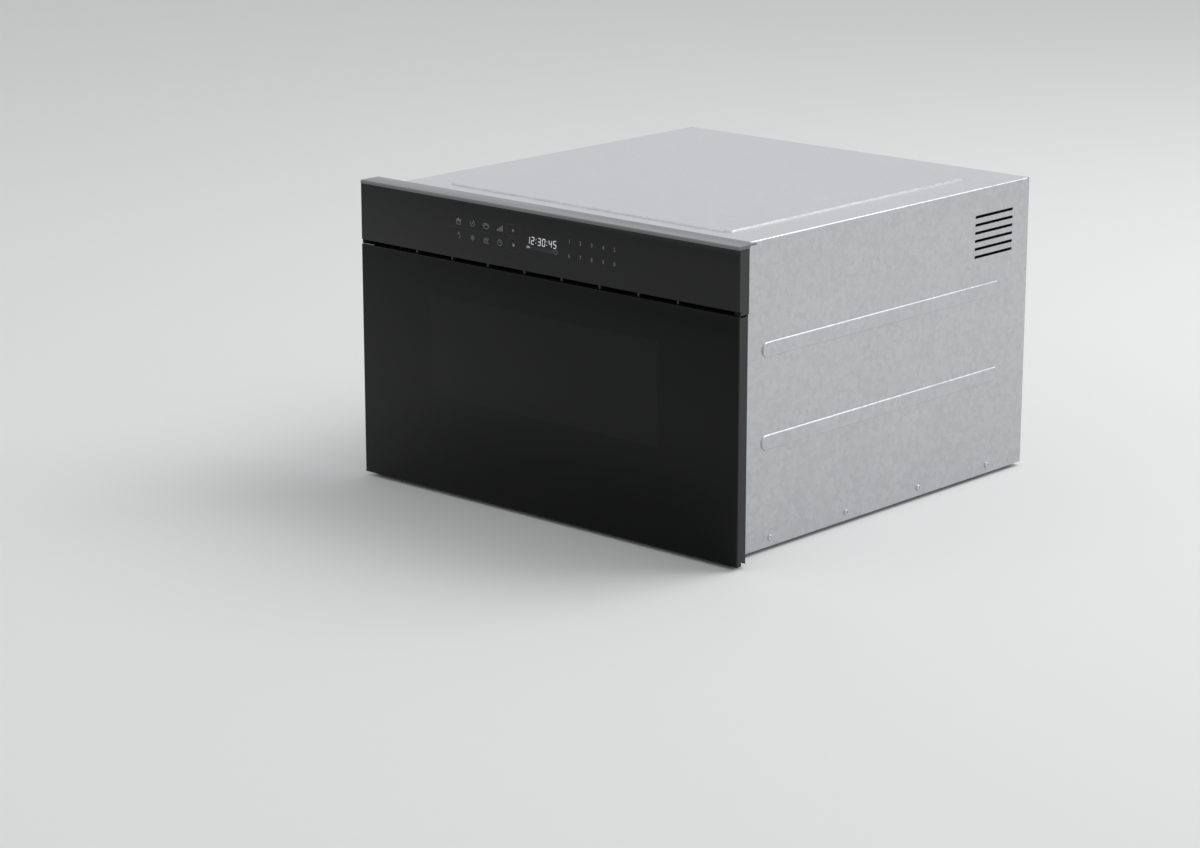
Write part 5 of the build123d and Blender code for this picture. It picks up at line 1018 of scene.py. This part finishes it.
def screwSet(name, node, body, spots, screw):
    # each spot is the middle of a head's seat in millimetres and the heading the head faces, 0 for +Y
    first = screwHead(screw)
    made = []
    for k, (x, y, z, heading) in enumerate(spots):
        turn = screw["turns"][k % len(screw["turns"])]
        head = copied(first, (0, 0, 0))
        head.rotation_euler = (0, math.radians(turn), math.radians(heading))
        head.location = (x * mm, y * mm, z * mm)
        made.append(settle(head))
    bpy.data.objects.remove(first)
    screws = dressed(joined(name, made), finishes["rail_steel"], body, 40)
    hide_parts(node)


at = caseScrews
spots = [(x, at["rearY"], z, 0) for x in (-at["rearX"], at["rearX"]) for z in at["rearZ"]]
spots += [(x, at["rearY"], at["topZ"], 0) for x in (-at["topX"], at["topX"])]
spots += [(way * at["sideX"], at["sideY"] + at["sidePitch"] * (k - 1.5), at["sideZ"], -90 * way)
          for way in (-1, 1) for k in range(4)]
screwSet("caseScrews", "case_screws", "housing", spots, caseScrews)
at = footScrews
spots = [(x, at["y"], z, 0) for x in (-at["x"], at["x"]) for z in at["z"]]
screwSet("doorFootScrews", "door_screws", "drawer", spots, footScrews)
stage("screws")

# Window screen: a sheet of round holes at an even pitch inside a plain rim
screenSheet = {"pitch": 4.1, "hole": 1.45, "rim": 3.0}


def perforatedScreen():
    low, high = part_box("window_screen")
    size, middle = high - low, (low + high) / 2
    pitch, rim = screenSheet["pitch"] * mm, screenSheet["rim"] * mm
    columns, rows = int((size.x - 2 * rim) // pitch), int((size.z - 2 * rim) // pitch)
    wide, tall = columns * pitch, rows * pitch
    # one square of sheet with its hole
    deselect()
    bpy.ops.mesh.primitive_plane_add(size=pitch, location=(0, 0, 0), rotation=(math.radians(90), 0, 0))
    sheet = settle(bpy.context.object)
    sheet.name = "perforatedScreen"
    bpy.ops.object.mode_set(mode="EDIT")
    bpy.ops.mesh.select_all(action="SELECT")
    bpy.ops.mesh.subdivide(number_cuts=1)
    bpy.ops.object.mode_set(mode="OBJECT")
    pick(sheet, "VERT", lambda at, way: at.length < 0.1 * pitch)
    bpy.ops.mesh.bevel(offset=screenSheet["hole"] * mm, affect="VERTICES", segments=2, profile=0.5)
    bpy.ops.object.mode_set(mode="OBJECT")
    pick(sheet, "FACE", lambda at, way: at.length < 0.1 * pitch)
    bpy.ops.mesh.delete(type="FACE")
    bpy.ops.object.mode_set(mode="OBJECT")
    for count, shift in ((columns, (pitch, 0, 0)), (rows, (0, 0, pitch))):
        row = sheet.modifiers.new("row", "ARRAY")
        row.count = count
        row.use_relative_offset = False
        row.use_constant_offset = True
        row.constant_offset_displace = shift
        row.use_merge_vertices = True
        row.merge_threshold = 0.01 * mm
        use(sheet)
        bpy.ops.object.modifier_apply(modifier=row.name)
    sheet.location = (middle.x - wide / 2 + pitch / 2, high.y, middle.z - tall / 2 + pitch / 2)
    settle(sheet)
    # the border edges are drawn out to the sheet's real size
    near = 0.01 * mm
    pick(sheet, "EDGE", lambda at, way: (abs(at.x - middle.x) > wide / 2 - near
                                         or abs(at.z - middle.z) > tall / 2 - near))
    bpy.ops.mesh.extrude_edges_move()
    stretch = (size.x / wide, 1, size.z / tall)
    bpy.ops.transform.resize(value=stretch, center_override=(middle.x, high.y, middle.z))
    bpy.ops.object.mode_set(mode="OBJECT")
    thick = sheet.modifiers.new("sheet", "SOLIDIFY")
    thick.thickness = size.y
    thick.offset = -1
    use(sheet)
    bpy.ops.object.modifier_apply(modifier=thick.name)
    # whichever way it thickened, it starts at its place's front
    sheet.location.y = low.y - min(corner.co.y for corner in sheet.data.vertices)
    settle(sheet)
    dressed(sheet, finishes["screen_steel"], "drawer", 30)
    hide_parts("window_screen")
    stage("window screen, %d faces" % len(sheet.data.polygons))


perforatedScreen()

# Floor, lamps and camera
studio = {"floor": (0.86, 0.86, 0.855), "floorSize": 24,
          "sky": (0.96, 0.97, 0.98), "skyLight": 0.57, "backdrop": 0.92,
          "keyPlace": (1.45, 2.0, 3.3), "keyPower": 75, "keySize": 2.6,
          "fillPlace": (-1.0, -3.4, 2.4), "fillPower": 10, "fillSize": 2.6, "aim": (0, 0, 0.19)}
deselect()
bpy.ops.mesh.primitive_plane_add(size=studio["floorSize"], location=(0, 0, 0))
floor = bpy.context.object
floor.name = "floor"
paleFloor = Finish("paleFloor", **{"Specular IOR Level": 0.2})
floorTone = paleFloor.blend(paleFloor.cloud(900, 2), shade(studio["floor"], 0.985), studio["floor"])
floor.data.materials.append(paleFloor.paint(color=floorTone, roughness=0.85).material)

world = bpy.data.worlds.new("paleRoom")
bpy.context.scene.world = world
# the camera and mirrors see the brighter backdrop, and the object is lit by the weaker light
room = NodeTree(world)
seen = room.node("ShaderNodeLightPath").outputs
mirrored = room.sum("MAXIMUM", seen["Is Glossy Ray"], seen["Is Transmission Ray"])
shown = room.sum("MAXIMUM", seen["Is Camera Ray"], mirrored)
lighting = room.node("ShaderNodeBackground", {}, {"Color": studio["sky"], "Strength": studio["skyLight"]})
backdrop = room.node("ShaderNodeBackground", {}, {"Color": studio["sky"], "Strength": studio["backdrop"]})
either = room.node("ShaderNodeMixShader", {}, {0: shown, 1: lighting.outputs[0], 2: backdrop.outputs[0]})
room.node("ShaderNodeOutputWorld", {}, {"Surface": either.outputs[0]})


def softLamp(name, place, power, size):
    bpy.ops.object.light_add(type="AREA", location=place)
    lamp = bpy.context.object
    lamp.name = name
    lamp.data.energy = power
    lamp.data.shape = "SQUARE"
    lamp.data.size = size
    lamp.rotation_euler = (Vector(studio["aim"]) - Vector(place)).to_track_quat("-Z", "Y").to_euler()


softLamp("keyLamp", studio["keyPlace"], studio["keyPower"], studio["keySize"])
softLamp("fillLamp", studio["fillPlace"], studio["fillPower"], studio["fillSize"])

shot = {"place": (2.5613, -3.00545, 1.1055), "down": 14.811, "turn": 42.326, "lens": 97.42, "sensor": 36}
bpy.ops.object.camera_add(location=shot["place"],
                          rotation=(math.radians(90 - shot["down"]), 0, math.radians(shot["turn"])))
camera = bpy.context.object
camera.data.lens = shot["lens"]
camera.data.sensor_width = shot["sensor"]
bpy.context.scene.camera = camera
bpy.context.scene.view_settings.view_transform = "Standard"
stage("floor, lamps and camera")
